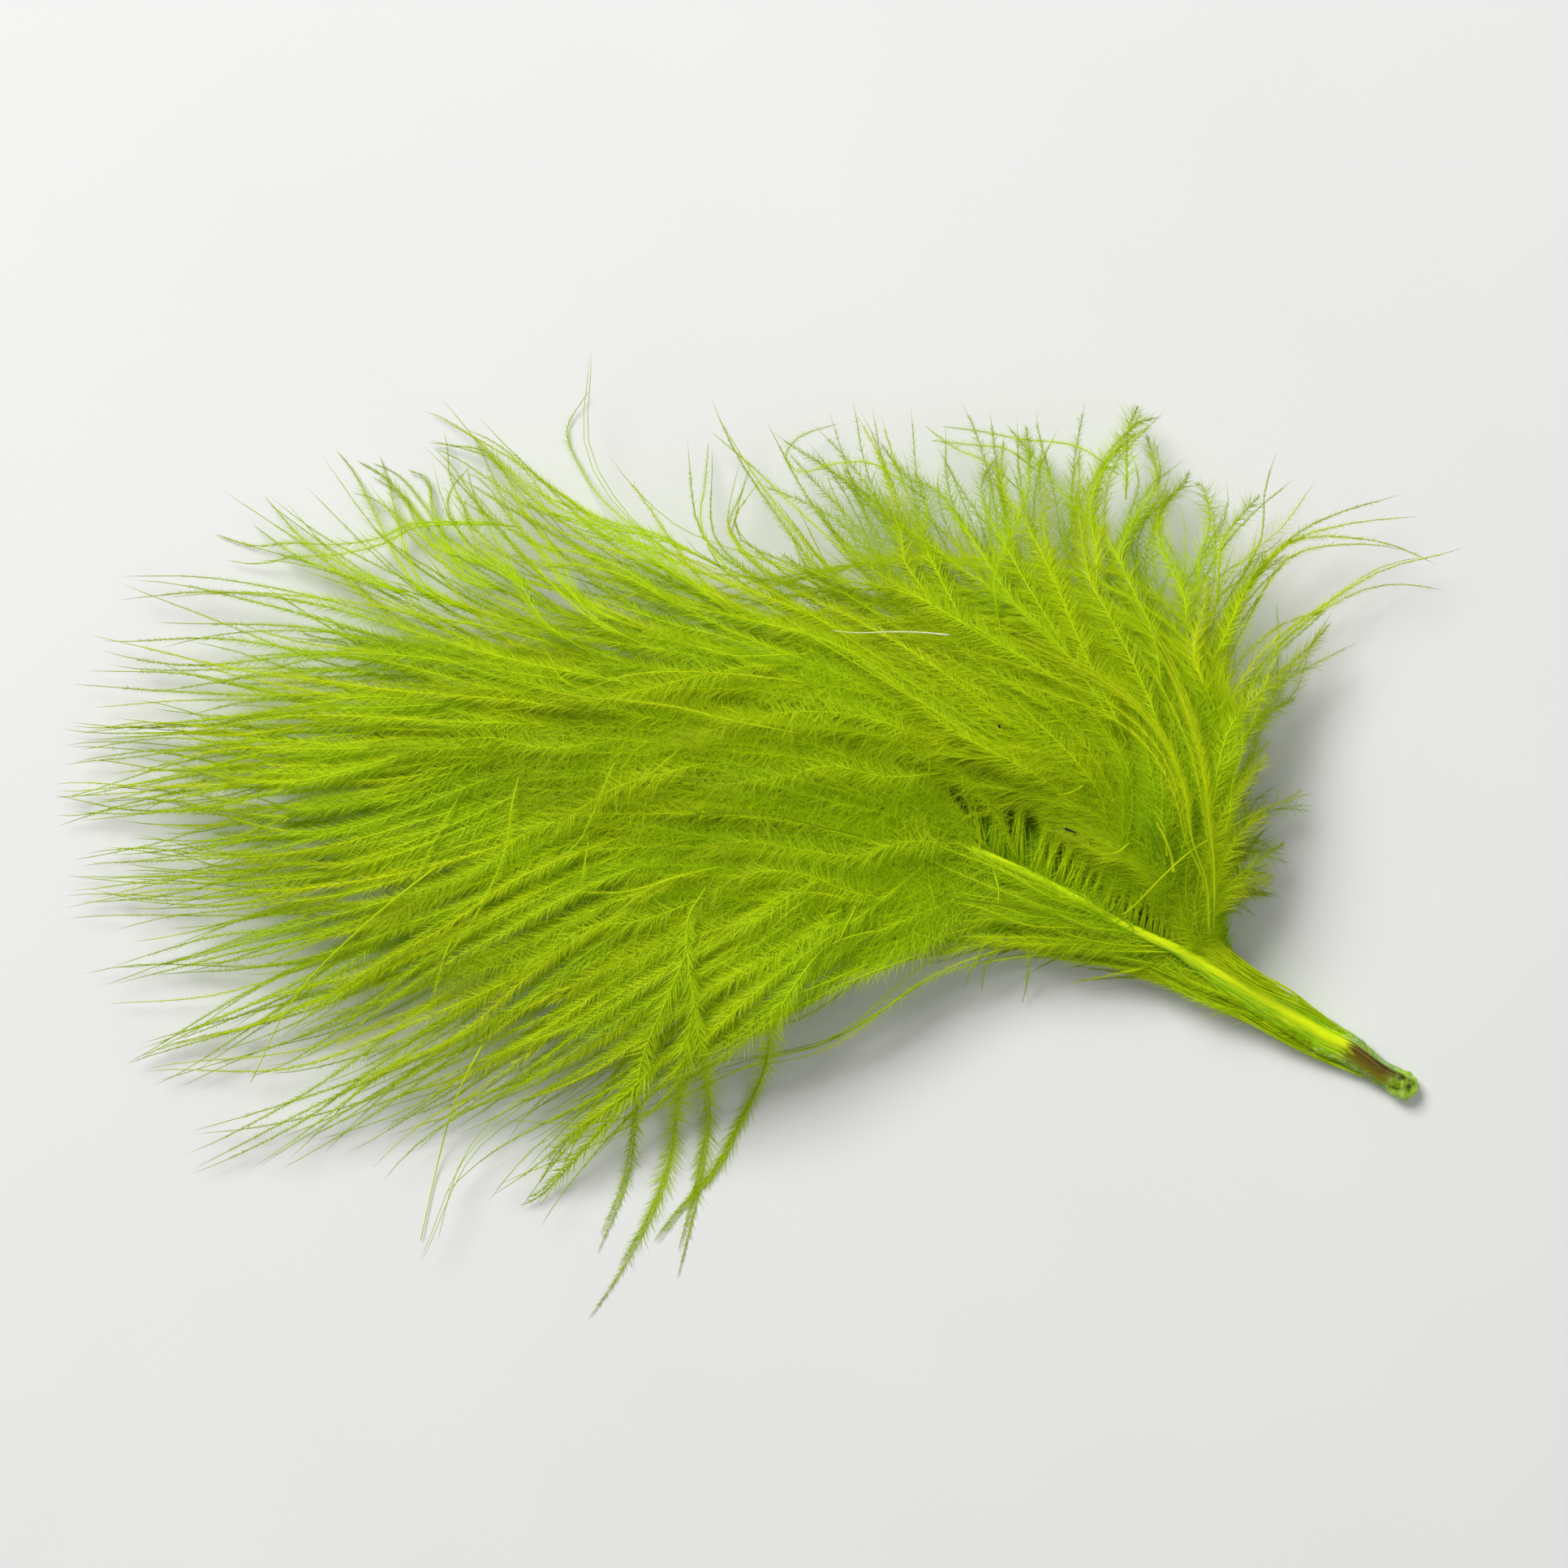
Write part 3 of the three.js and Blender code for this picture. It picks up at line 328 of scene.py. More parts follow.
# Single barbs that lie loose on the fluff, each from its root to its tip, in groups that look alike.
STRANDS = [
    {
        # Bare and bright.
        "ramus": 1.3, "fluff": 0.0, "tone": (0.85, 1.0),
        "runs": [
            [(20.6, -4.4), (21.1, -3.9), (22.7, -2), (24.2, -0.6), (26.8, 0.9), (28.5, 1.6), (31.6, 2.5)],
            [(0.6, 6.1), (-0.5, 6.7), (-1.8, 7.3)],
            [(12.6, -0.9), (12.5, 0.1), (12.2, 1)],
            [(13.3, -1.6), (13.6, -3), (13.5, -3.9)],
            [(18.2, 2.9), (17.4, 2.5), (16.7, 2.4)],
            [(20.8, -0.3), (20.1, -0.8), (19.2, -0.9)],
            [(22.8, -1), (22.5, 0.6), (21.9, 1.6)],
            [(5.6, -3.8), (5.1, -4.8), (4.6, -5.8)],
            [(6.6, -5.2), (5.2, -5.5), (4.2, -5.9)],
            [(-17, -1), (-22, -5), (-26, -9), (-28.8, -14.1)],
            [(-15, -11), (-16.8, -14.5), (-18, -18), (-19.2, -23.2)],
        ],
    },
    {
        # Bright lines along the arch, their yellow tones a painted highlight.
        "ramus": 0.8, "fluff": 1.2, "lean": 26.0, "splay": 50.0, "tone": (0.8, 1.0), "bare": 0.05,
        "start": 0.3, "thick": 0.9, "step": 1.4, "twins": 6, "apart": 1.8,
        "runs": [
            [(25.4, -5.4), (24.9, -2.4), (23.9, -0.2), (23.2, 2.6), (22, 5.1), (19.8, 7.2), (16, 9),
             (11, 10.6)],
            [(25.6, -5), (25.3, -1.8), (24.7, 1.2), (24, 4.4), (22.8, 7.4), (21, 10.4), (19, 12.6)],
        ],
    },
    {
        # The brightest one, whose top tone is a painted highlight, beside a shaded pair.
        "ramus": 2.4, "fluff": 0.0, "tone": (1.0, 1.0),
        "runs": [[(23.2, -1.9), (23.1, -1.27), (22.84, -0.55), (22.5, 0.18), (22.1, 0.9)]],
    },
    {
        # The shaded pair, painted deep green as shade.
        "ramus": 1.6, "fluff": 0.9, "lean": 20.0, "splay": 50.0, "tone": (0.12, 0.15), "thick": 1.6,
        "runs": [
            [(22.75, -1.5), (22.45, -0.7), (22.1, 0.1), (21.6, 1), (20.6, 1.6)],
            [(22.5, -1.2), (22.15, -0.4), (21.8, 0.3), (21.2, 1), (20.2, 1.4)],
        ],
    },
    {
        # Wide, soft plumes over the middle.
        "ramus": 0.6, "fluff": 1.9, "bare": 0.03, "lean": 58.0, "splay": 32.0, "tone": (0.5, 0.9),
        "tousle": 14.0, "thick": 1.3,
        "runs": [
            [(7.6, -3.4), (5.35, -3), (2.7, -2), (0.3, -1.85), (-1.75, -2.6), (-3.2, -3.9), (-3.8, -5.1)],
            [(5, -2.2), (2.7, -2.7), (0.9, -3.9), (-0.3, -4.65), (-2.3, -5.1), (-4.7, -6), (-7.7, -7.2),
             (-10.6, -8.3)],
            [(6, -4.6), (3.3, -5.1), (1.5, -6.3), (-0.9, -7.5), (-2.6, -8.6), (-5.3, -10.1), (-7.7, -11)],
            [(-2.6, 4.2), (-5.3, 3.5), (-7.4, 2.9), (-9.1, 2), (-10.6, 0.8), (-11.6, -0.6)],
            [(2, 9.6), (-0.9, 9.4), (-3.8, 8.8), (-6.2, 8.2), (-9.1, 7.6), (-12.4, 7.8)],
            [(9.6, 5.4), (6.4, 6.6), (3, 7), (-0.4, 6.6), (-3.6, 5.6), (-6.2, 5.4)],
            [(10.4, 3.6), (7.2, 3.4), (4.2, 4), (1.4, 3.4), (-1.6, 3), (-4.4, 3.4)],
            [(11.6, -0.4), (8.4, -0.2), (5.6, -1), (2.4, -0.6), (-0.8, -0.2), (-4.2, -1.2)],
            [(-8, 5.4), (-11.6, 5), (-15, 5.6), (-18.6, 5), (-22, 5.2)],
            [(-9.6, 1.4), (-12.8, 0.2), (-15.4, -1.8), (-18, -3), (-21.6, -5)],
            [(-3, -3.4), (-6.4, -4.6), (-9.4, -5), (-12.4, -6.8), (-15.4, -7.4), (-18.8, -9.4)],
        ],
    },
    {
        # The bunch at the upper left.
        "fluff": 1.0, "brush": 0.25, "bare": 0.05, "thin": 0.7, "lean": 42.0, "splay": 22.0,
        "tone": (0.3, 0.75), "thick": 1.5, "step": 1.5, "twins": 2, "apart": 1.9,
        "runs": [
            [(-2, 15.2), (-6, 17.2), (-7.7, 17.6), (-10.1, 18.5), (-12.5, 19.6), (-14.8, 21.6),
             (-16.3, 22.9), (-18.1, 24), (-18.7, 24.2)],
            [(-2.6, 13.4), (-6, 15.6), (-8.9, 17.2), (-11.9, 18.5), (-13.6, 20.3), (-15.1, 21.5),
             (-16.6, 22.1), (-18.5, 22.6)],
            [(-6.4, 11.6), (-9.5, 13.2), (-11.3, 16.1), (-13.1, 18.5), (-14.2, 20.6), (-15.4, 21.9),
             (-17.2, 22.3), (-18.7, 22.5)],
            [(-9.4, 10.4), (-11.9, 12), (-13.6, 14.4), (-15.1, 16.4), (-16.6, 18.8), (-17.4, 20.6),
             (-17.6, 22.1), (-17.8, 23.1)],
            [(-6, 10.6), (-8.9, 12), (-11, 13.8), (-12.8, 15.6), (-14.8, 17.6), (-16.3, 19.7), (-17.2, 21),
             (-18.4, 22.2)],
            [(-11.6, 13.2), (-14.2, 15), (-16, 16.1), (-17, 17.6), (-17.5, 18.8), (-17.3, 19.7),
             (-16.3, 21)],
            [(-15.4, 12.4), (-19, 14.1), (-20.2, 15.6), (-21.3, 17.6), (-22.2, 19.4), (-23.1, 21),
             (-24, 22.1)],
            [(-13.4, 13.6), (-16.6, 15), (-17.8, 17.2), (-18.5, 18.8), (-18.6, 19.8), (-19.1, 20.6),
             (-19.9, 21)],
            [(-14.6, 15), (-17.8, 16.7), (-19.4, 18.5), (-20.2, 19.5), (-21.3, 20.6), (-22.8, 21.5)],
            [(-19, 13.4), (-23.7, 15.6), (-25.5, 16.7), (-26.7, 17.9), (-28, 19.4)],
            [(-13.6, 17.6), (-17.8, 17.9), (-19.6, 17.8), (-21.3, 17), (-23.7, 16.6), (-26.7, 16.7),
             (-28.6, 16.6), (-31, 17.3)],
            [(-4, 12.6), (-7.4, 15), (-10, 16), (-12.2, 16.4), (-14.4, 17.8), (-16, 19.6)],
            [(-1, 12.2), (-4.2, 14.6), (-6.6, 16.4), (-9.6, 17), (-11.4, 18), (-13.6, 19)],
        ],
    },
    {
        # Fine arcs and stray ends.
        "ramus": 0.9, "fluff": 0.5, "lean": 32.0, "tone": (0.65, 1.0),
        "runs": [
            [(3, 8.6), (-1.7, 9.1), (-4.7, 9.2), (-7.1, 9), (-10.1, 8), (-11.7, 7.4), (-15, 7)],
            [(2.4, 5.8), (-1.7, 6.6), (-4.1, 7.2), (-7.1, 7.6), (-10.1, 7.9), (-14, 8.8)],
            [(3, 10.2), (-1.2, 10.1), (-2.9, 10.5), (-5.6, 11.2)],
            [(-8.6, 8), (-9.8, 8.3), (-10.8, 8.9), (-11.4, 10), (-12, 11)],
            [(-7.8, 4.2), (-8.2, 3.3), (-8.7, 2), (-9.2, 0.9), (-9.8, -0.2), (-11.4, -1.5), (-13.4, -2.7)],
            [(-4.2, 4.9), (-4.9, 4.3), (-5.7, 3.6), (-6.6, 2.7)],
            [(-4, -2), (-6.4, -2.8), (-7.4, -3), (-10.5, -3)],
            [(-2, -1.6), (-4.5, -2.2), (-5.7, -2.7), (-7.1, -3.7), (-8.8, -5)],
            [(6, -3.6), (3.8, -3.1), (1.5, -3)],
            [(3.6, -3), (2, -4), (0.4, -5.5)],
            [(4.8, -4), (3.2, -4.9), (1.8, -5.6)],
            [(-13.2, 3.4), (-13.5, 2), (-14, -1), (-16, -5), (-18.5, -8)],
            [(-16.4, 2.6), (-17, 1.5), (-18.3, -1), (-19.5, -3.5)],
            [(-16.6, -5), (-17.3, -6.5), (-18, -9), (-18.5, -11)],
            [(-9.3, -0.2), (-9.5, -1.6), (-9.7, -3)],
            [(15, -5.2), (15.4, -7), (15.4, -8.4), (15.2, -9.5)],
            [(14, -5.4), (13, -7.4), (12.8, -8.8)],
            [(13.2, -5.2), (12.3, -7.2), (11.8, -8.5)],
            [(23, -7.2), (21, -7.6), (19.4, -8), (17.8, -8.4)],
        ],
    },
    {
        # Loops and curls of the upper edge.
        "ramus": 0.8, "fluff": 0.55, "bare": 0.04, "lean": 40.0, "tone": (0.4, 0.8),
        "runs": [
            [(-4, 15.4), (-7.5, 18), (-9, 19.5), (-10, 21), (-10.8, 23.2), (-9.5, 25.5)],
            [(-12, 13.6), (-16, 15.8), (-18, 17.5), (-19, 19), (-20.5, 20.7), (-22, 21.4)],
            [(-13, 13.2), (-17, 15.8), (-19.2, 18.2), (-20.5, 19.7), (-22, 20.6)],
            [(-14, 13.6), (-17.2, 16), (-18.4, 19), (-18.8, 20.5), (-19.9, 20.9)],
            [(-0.6, 14), (-2.6, 16.4), (-3.1, 18), (-2.9, 20), (-2.7, 22.5)],
            [(6.4, 14.6), (3.2, 17.6), (1.3, 19.5), (0, 20.8), (-2.5, 23)],
            [(0.6, 14.6), (-1.5, 17.3), (-0.8, 19.5), (-0.3, 21)],
            [(9.6, 19), (6.5, 21), (4.5, 21), (2.4, 20.6), (1.7, 21.6), (2.5, 22.7), (4.7, 23.5)],
            [(20.4, 20.4), (18, 22), (15, 22.5), (13, 22.9), (10.5, 23.3)],
            [(16, 20.6), (14, 21.9), (12.5, 22.1), (9.9, 22.5)],
            [(15, 19.4), (12.8, 21.2), (11.3, 22), (9.6, 23.4)],
            [(27, 5), (28.5, 9), (29.2, 11), (29.4, 13.2)],
            [(25, -1), (26.1, 1), (26.3, 3), (26.9, 5.3), (26.2, 7.5), (24.1, 10)],
        ],
    },
    {
        # The shafts that show in the crown and the right fan.
        "ramus": 1.1, "fluff": 1.6, "brush": 0.14, "bare": 0.03, "splay": 30.0, "tousle": 10.0,
        "tone": (0.45, 0.95), "thick": 1.5,
        "runs": [
            [(19.9, 5.6), (18.9, 7.6), (16.3, 11.1), (14.1, 13.1), (11.4, 14.9), (9.4, 16.5), (6.5, 18.7),
             (4.8, 21)],
            [(17.6, 8), (15, 9.8), (13, 10.9), (9.8, 12.9), (6.5, 14.9), (4.4, 17), (3.4, 18.8)],
            [(16, 9), (12.7, 11.3), (10.9, 12.2), (9, 13.3), (7.2, 13.9), (3.6, 14.6), (1.2, 16)],
            [(18, 9.4), (14.5, 12.7), (12.3, 16.2), (11.2, 18), (10, 19.6), (8.5, 20.2), (6.9, 22.4)],
            [(17.6, 9.6), (15.2, 13.6), (14.3, 15.3), (13.4, 17.1), (12.9, 18.4), (12.7, 20), (13.6, 21.4)],
            [(18.9, 8.4), (17.8, 10.9), (16.3, 14.7), (14.9, 17.8), (14, 19.1), (13.8, 20.4), (14, 22.6)],
            [(22.5, 7.4), (21.8, 11.6), (20.9, 13.5), (19.4, 16.9), (18, 18.2), (15.6, 21.5), (14.2, 23.5)],
            [(13.6, 11.4), (13.2, 14.4), (14, 16.5), (15.1, 18.9), (15.4, 20.9), (15.3, 23.4)],
            [(22.6, 5), (21.2, 8.7), (19.4, 12.4), (18.5, 14.2), (18.1, 17.8), (18.1, 19.6), (18.2, 22)],
            [(20.6, 5), (18.5, 9.4), (17.2, 12.4), (16.5, 14.7), (16.1, 17.5), (16.3, 18.9), (16, 20.4)],
            [(19.4, 14), (18.7, 18.4), (19.4, 20.4), (20.3, 21.8), (21.4, 23.3), (22.9, 23.8)],
            [(23.9, 11), (23.6, 14.4), (22.7, 16.4), (22.5, 18), (23.3, 19.6)],
            [(12, 11), (10, 14.9), (9.4, 16.5), (9.6, 18.6), (8.9, 20.6)],
            [(10.6, 11.6), (9, 14.2), (8.3, 15.3), (8.1, 16.9), (7.2, 19.4)],
            [(20, 15), (20.9, 17.3), (22.5, 19.7), (22.6, 20.5), (22, 22.9)],
            [(24.2, 11.6), (23.7, 13.6), (22.7, 16.1), (22.6, 17.7), (23, 18.8), (24.3, 20.1),
             (24.6, 20.9)],
            [(24.7, 13), (24.8, 15.7), (25.3, 16.8), (25.6, 18.2), (25.3, 19.9), (24.8, 20.1)],
            [(25.4, 7), (24.3, 9.4), (24.2, 10.8), (24.8, 12.6), (25.2, 14.8)],
            [(25.8, 13.2), (26.1, 16.4), (27, 17.7), (28.6, 19.4)],
            [(25.2, 9.6), (26.7, 12.6), (27.6, 14.3), (28.6, 15.9)],
            [(18.9, 13.4), (19, 16.3), (19.5, 17.6)],
            [(20.8, 19), (21, 22.8), (21.7, 24.5)],
            [(25.3, -4.4), (26.2, -2.8), (28, -1.4), (30, -0.3)],
            [(25.4, -4.9), (26.2, -3.4), (27.4, -2.6), (29.3, -2.2)],
            [(25.2, -3.8), (25.8, -1.6), (27, 0.4), (28.6, 1.4)],
            [(24.8, -2.2), (25.6, 1), (27.2, 3.2), (28.6, 4.7)],
            [(24.8, 0), (25.8, 4), (27.8, 6.4), (30.4, 7.9)],
            [(25, 2), (26.2, 6.2), (28.2, 8.2), (30.8, 10.4), (32.6, 12.2)],
        ],
    },
    {
        # Those that hang from the lower edge.
        "ramus": 1.1, "fluff": 1.6, "brush": 0.3, "bare": 0.04, "thin": 0.65, "lean": 46.0, "splay": 14.0,
        "tone": (0.35, 0.7), "thick": 2.4, "step": 2.2, "twins": 2, "apart": 0.35,
        "runs": [
            [(-2.7, -2.7), (-3.7, -4.4), (-3.8, -6.2), (-4.7, -8.6), (-6.2, -12.3), (-6.7, -15.7),
             (-7.4, -19.7), (-9.1, -23.9)],
            [(-3.2, -7.4), (-3.5, -9.8), (-4.2, -14), (-5, -19), (-6.1, -21.9), (-8.4, -25.9),
             (-9.6, -27.6)],
            [(-3.3, -4.4), (-3.7, -6.2), (-3.4, -8.9), (-2.7, -13.6), (-2.7, -16.5), (-3.4, -20.7),
             (-4.5, -25.3)],
            [(4, -5.9), (2.7, -7.4), (1, -10.3), (0.5, -13.1), (-1.3, -17), (-2.4, -19), (-4.7, -21.6),
             (-5.9, -23.2)],
            [(-5, -12), (-7.4, -14.6), (-9.9, -16.5), (-11.1, -17.7), (-12.3, -19.6)],
            [(-6, -13), (-9.1, -17), (-11.3, -19.5), (-12.3, -20.5), (-13.5, -21.1)],
        ],
    },
    {
        # The border of the lower edge.
        "ramus": 0.8, "fluff": 1.5, "brush": 0.3, "bare": 0.06, "thin": 0.6, "lean": 62.0,
        "tone": (0.25, 0.5), "thick": 1.2, "step": 2.4,
        "runs": [
            [(6.4, -7), (4, -8), (1.9, -8.9), (0.2, -10.1), (-1.3, -11.4), (-2.4, -12), (-3.7, -12.2),
             (-5.4, -12)],
            [(9, -6.6), (6.2, -7.6), (3.4, -8.9), (0.6, -10.4), (-2.6, -12.6), (-6, -14)],
        ],
    },
    {
        # The thin one below it.
        "ramus": 1.1, "fluff": 0.4, "brush": 0.3, "lean": 30.0, "tone": (0.35, 0.5),
        "runs": [
            [(9.4, -8.2), (4, -11.6), (0.7, -12.5), (-2.4, -13.8), (-5.7, -15.4), (-9.1, -16.1),
             (-14.2, -16.1)],
        ],
    },
    {
        # Olive arcs: painted shade, darker lines where barbs lie in shade.
        "ramus": 0.7, "fluff": 0.3, "tone": (0.0, 0.01), "above": 0.12,
        "runs": [
            [(5.9, 0.1), (3.8, 0.6), (1.4, 1.2), (-0.4, 1.4), (-3, 1.35), (-4.7, 2.1), (-6.4, 2.8)],
            [(-1, 1.4), (-3, 1.35), (-5.4, 0.9), (-8, 0.3)],
            [(-3.4, -0.1), (-6.1, -0.7)],
            [(-8.9, 3.2), (-11.4, 2), (-13.4, 0.9)],
            [(2.1, 5.4), (2.6, 3.9), (2.9, 2.4)],
        ],
    },
    {
        # The olive loop over the shaft.
        "ramus": 0.9, "fluff": 0.9, "lean": 24.0, "splay": 40.0, "tone": (0.0, 0.01), "above": 0.5,
        "step": 1.8,
        "runs": [
            [(10, -3.2), (13.4, -3.7), (15.4, -4), (16.9, -4.5), (18.2, -5), (19.5, -5.5), (20.9, -5.6),
             (21.2, -5.2), (20.5, -4.55), (19.5, -4), (18.6, -3.5)],
        ],
    },
]

# The even row of barb feet along the shaft.
LADDER = {"first": 12.6, "last": 28.0, "step": 0.262, "up": 2.6, "down": 1.5, "rise": 0.7, "stations": 9}
LADDER_LEAN = (-3.0, 6.0)  # degrees at the first and the last foot
LADDER_TURN = 30.0  # degrees more for the very last ones
LADDER_TURN_FROM = 0.8
LADDER_LOWER = 35.0  # degrees more for the lower feet
LADDER_BEND = 8.0
LADDER_SHAKE = 0.6  # degrees
LADDER_LENGTHS = (0.85, 1.1)
LADDER_ASIDE = 0.8  # where the feet start, in half widths of the shaft
LADDER_UNEVEN = 0.02
# The feet's deep green tone is partly their own greener base and partly painted shade of the hollow they
# lie in.
LADDER_LOOK = {
    "ramus": 0.5, "fluff": 0.34, "lean": 84.0, "start": 0.1, "splay": 5.0, "step": 3.0, "thick": 0.9,
    "tone": (0.12, 0.24),
}

# Splinters and crumbs of the sheath: from and to along the quill, which side, how many and how long.
FLAKES = [
    (3.0, 6.2, 1.0, 60, 0.6),
    (6.0, 10.5, 1.0, 40, 0.8),
    (1.9, 7.6, -1.0, 80, 0.55),
    (5.6, 11.0, -1.0, 70, 1.1),
    (6.6, 8.4, -1.0, 60, 0.8),
]

# Each one stands at a tilt round the quill and at a lift away from it, in degrees, and curls further out.
FLAKE_TILT = (-15.0, 60.0)
FLAKE_LIFT = (6.0, 38.0)
FLAKE_CURL = 1.6
FLAKE_LENGTHS = (0.4, 1.2)
FLAKE_WIDTHS = (0.02, 0.07)
FLAKE_ROOT = 0.98  # where it starts, in half widths of the quill
FLAKE_LOOK = {"along": 0.6, "edge": 0.9, "tone": (0.2, 1.0)}
FLAKE_MAP = np.array([(0.0, 0.0, 0.5, 0.5, 1.0), (0.2, 0.8, 0.2, 0.8, 0.5)])

# Dirt: two dark specks and a pale stray fibre, as lines with their radius and height over the fluff.
DIRT_STATIONS = 16
DIRT_TAPER = 0.4
SPECKS = [([(13.4, 6.25), (13.5, 6.05)], 0.1, 0.6), ([(17.2, 0.52), (17.5, 0.4), (17.85, 0.3)], 0.1, 0.1)]
FIBRE = ([(10.7, 11.2), (9.2, 11.35), (7.5, 11.4), (5.6, 11.35), (4.1, 11.5)], 0.065, 0.15)

# How a lock is shaped along its run, as shares of its length.
CREST_AT = 0.36
FULL_FROM = 0.25
FULL_TO = 0.5
ROOT_SHARE = 0.5
TIP_SHARE = 0.1  # a bundle of barbs never quite meets in one point
BODY_END = 0.62
LAYER_STEP = 0.5  # how much lower every second lock lies
LOWEST = 0.85  # share of its height by which the lowest barb of a lock sags
LEAST_GAP = 0.4  # between the roots of a lock's outer barbs
SHORT_POWER = 1.5  # the higher, the fewer barbs fall short
ORDER_JITTER = (0.2, 0.8)
HOOK_FROM = 0.66
ROOT_HEIGHTS = (0.1, 0.8)  # where barbs start on the shaft's side, in half widths under its middle
WANDER_WAVES = np.array([1.0, 2.2, 4.5]).reshape(3, 1, 1)
WANDER_SIZES = np.array([1.0, 0.34, 0.06]).reshape(3, 1, 1)
WANDER_SPEEDS = (0.6, 1.2)
WANDER_ROOT = 0.25  # how much a barb wanders at its root beside its tip
WANDER_UP = 0.25  # how much it wanders up and down beside sideways

# A barb: its own shaft and its barbules. Stations are the points along its shaft.
STATIONS = 26
STRAND_STATIONS = 44
STRAND_SUNK = 0.9  # how deep a loose strand's root is in the fluff
ROOT_SINK = 2.0  # over how much of its length it comes out
TWIN_SPREAD = (0.6, 1.2)
TWIN_CUT = 0.2  # share by which a twin may be shorter
TWIN_RISE = 0.1
TWIN_BEND = 1.5  # the higher, the later twins part
ROOT_SPREAD = 0.3  # share of the run over which a barb leaves its own root for its place in the lock
RAMUS_ROOT = 0.055  # radius
RAMUS_TIP = 0.024
RAMUS_TAPER = 0.8
RAMUS_SIDES = 3
FLOOR_GAP = 0.06  # between the floor and all that lies on it
BARBULE_STEP = 0.075
STEP_JITTER = 0.4
LOWER_STEP = 2.0  # barbs under the upper layer have their barbules this many times further apart
BARE_SPREAD = (0.7, 1.25)
BARBULE_WIDTH = 0.024
BARBULE_LENGTHS = (0.7, 1.2)  # beside the length that the look gives
BARBULE_ENDS = 0.25  # length of the first and last barbules of a barb beside the others
BARBULE_GROW = 0.1  # share of a barb over which its barbules grow to full length
BARBULE_CLOSE = (20.0, 10.0)  # degrees by which a barbule's outer half leans in, and their spread
BARBULE_SHAKE = 0.05
BARBULE_FACING = 0.5
SWIRL = 10.0  # how many degrees the barbules of neighbouring barbs turn together
SWIRL_WAVES = (0.8, 1.7, 0.5)
BLADE_KNEE = 0.8  # width of a blade at its knee beside its foot

# Each barb has a strip of the map: its shaft along the middle, its barbules on both sides.
MAP_SHAFT = 0.04
MAP_ROWS = (0.06, 0.44)
MAP_FOOT = 0.002
MAP_QUILL = (0.02, 0.98)  # the quill between the points of its two ends
MAP_DIRT = 0.4
PLAIN_TONE = 0.5

# The shape of the quill.
QUILL_SPAN = 12
QUILL_SIDES = 48
QUILL_FLAT = 0.8
LEAST_HALF = 0.04
RIDGE_RISE = 0.15
RIDGE_WIDE = 0.3
RIDGE_ASIDE = 0.15
RIDGE_FROM = (4.3, 5.1)  # where it rises, from the rounded end
RIDGE_NEEDS = (0.3, 0.7)  # half widths between which it shows
RIDGE_EDGE = (0.24, 0.44)  # where the streaked flanks start beside it
STREAKED_FROM = 0.6  # half width from which the flanks are fully streaked
BULB_FROM = 0.25
BULB_TO = (1.6, 0.9)
STREAK = 0.02
WRINKLE = 0.03

# Waves round the quill: how many, where they start and how they slant along it.
STREAKS = ((9, 0.4, 0.35), (14, 1.9, -0.3), (23, 4.1, 0.5), (31, 2.6, -0.7))
WRINKLES = ((5, 0.0, 5.5), (8, 1.3, -7.0), (3, 0.0, 11.0))

# A grid of the fluff's height, on which loose strands are laid.
GRID_LOW = (-46.0, -34.0)
GRID_SIZE = (188, 136)
GRID_STEP = 0.5
SETTLE_TIMES = 2
EVEN_OVER = 1.5  # length of a strand over which its height is evened out

# The camera looks down on this point, and the picture is this wide there.
LOOK_AT = (1.6, 3.0, 5.0)
FRAME_WIDTH = 87.9
LENS = 100.0
SENSOR = 36.0
CLIP = (0.01, 20.0)

# Floor and lamps, in metres and watts.
FLOOR_SIDE = 6.0
WORLD_LIGHT = 0.25  # strength of the even light from all sides
KEY_LIGHT = {"place": (-0.25, 0.35, 0.5), "size": 0.3, "power": 4.1}
FILL_LIGHT = {"place": (0.5, -0.2, 0.5), "size": 0.6, "power": 0.8}


def mix(a, b, t):
    return a + (b - a) * t


def smooth(t):
    t = np.clip(t, 0.0, 1.0)
    return t * t * (3.0 - 2.0 * t)


def fade(value, low, high):
    """0 at low and before it, 1 at high and past it, with a smooth change between them."""
    return smooth((value - low) / (high - low))


def unit(v):
    return v / np.maximum(np.linalg.norm(v, axis=-1, keepdims=True), LEAST_LENGTH)


def line_through(points, per_span=24):
    """Close points on the smooth curve through the given ones."""
    p = np.asarray(points, float)
    p = np.vstack([2 * p[0] - p[1], p, 2 * p[-1] - p[-2]])
    u = np.linspace(0.0, 1.0, per_span, endpoint=False)[:, None]
    spans = []
    for a, b, c, d in zip(p, p[1:], p[2:], p[3:]):
        ab, bc, cd = (math.sqrt(np.linalg.norm(q - r)) for q, r in ((b, a), (c, b), (d, c)))
        start = ((b - a) / ab - (c - a) / (ab + bc) + (c - b) / bc) * bc
        end = ((c - b) / bc - (d - b) / (bc + cd) + (d - c) / cd) * bc
        spans.append(
            (2 * u**3 - 3 * u**2 + 1) * b
            + (u**3 - 2 * u**2 + u) * start
            + (3 * u**2 - 2 * u**3) * c
            + (u**3 - u**2) * end
        )
    return np.concatenate([*spans, p[-2][None]])


def lengths_along(line):
    """The length of a line up to each of its points."""
    steps = np.linalg.norm(np.diff(line, axis=0), axis=1)
    return np.concatenate([[0.0], np.cumsum(steps)])


def read_line(line, places, where):
    """The points of a line at the given places along it."""
    return np.stack([np.interp(where, places, line[:, k]) for k in range(line.shape[1])], axis=-1)


def shaft_at(x):
    """Middle and half width of the quill or shaft at each x."""
    by_x = QUILL[::-1]
    return np.stack([np.interp(x, by_x[:, 0], by_x[:, k]) for k in range(4)], axis=-1)


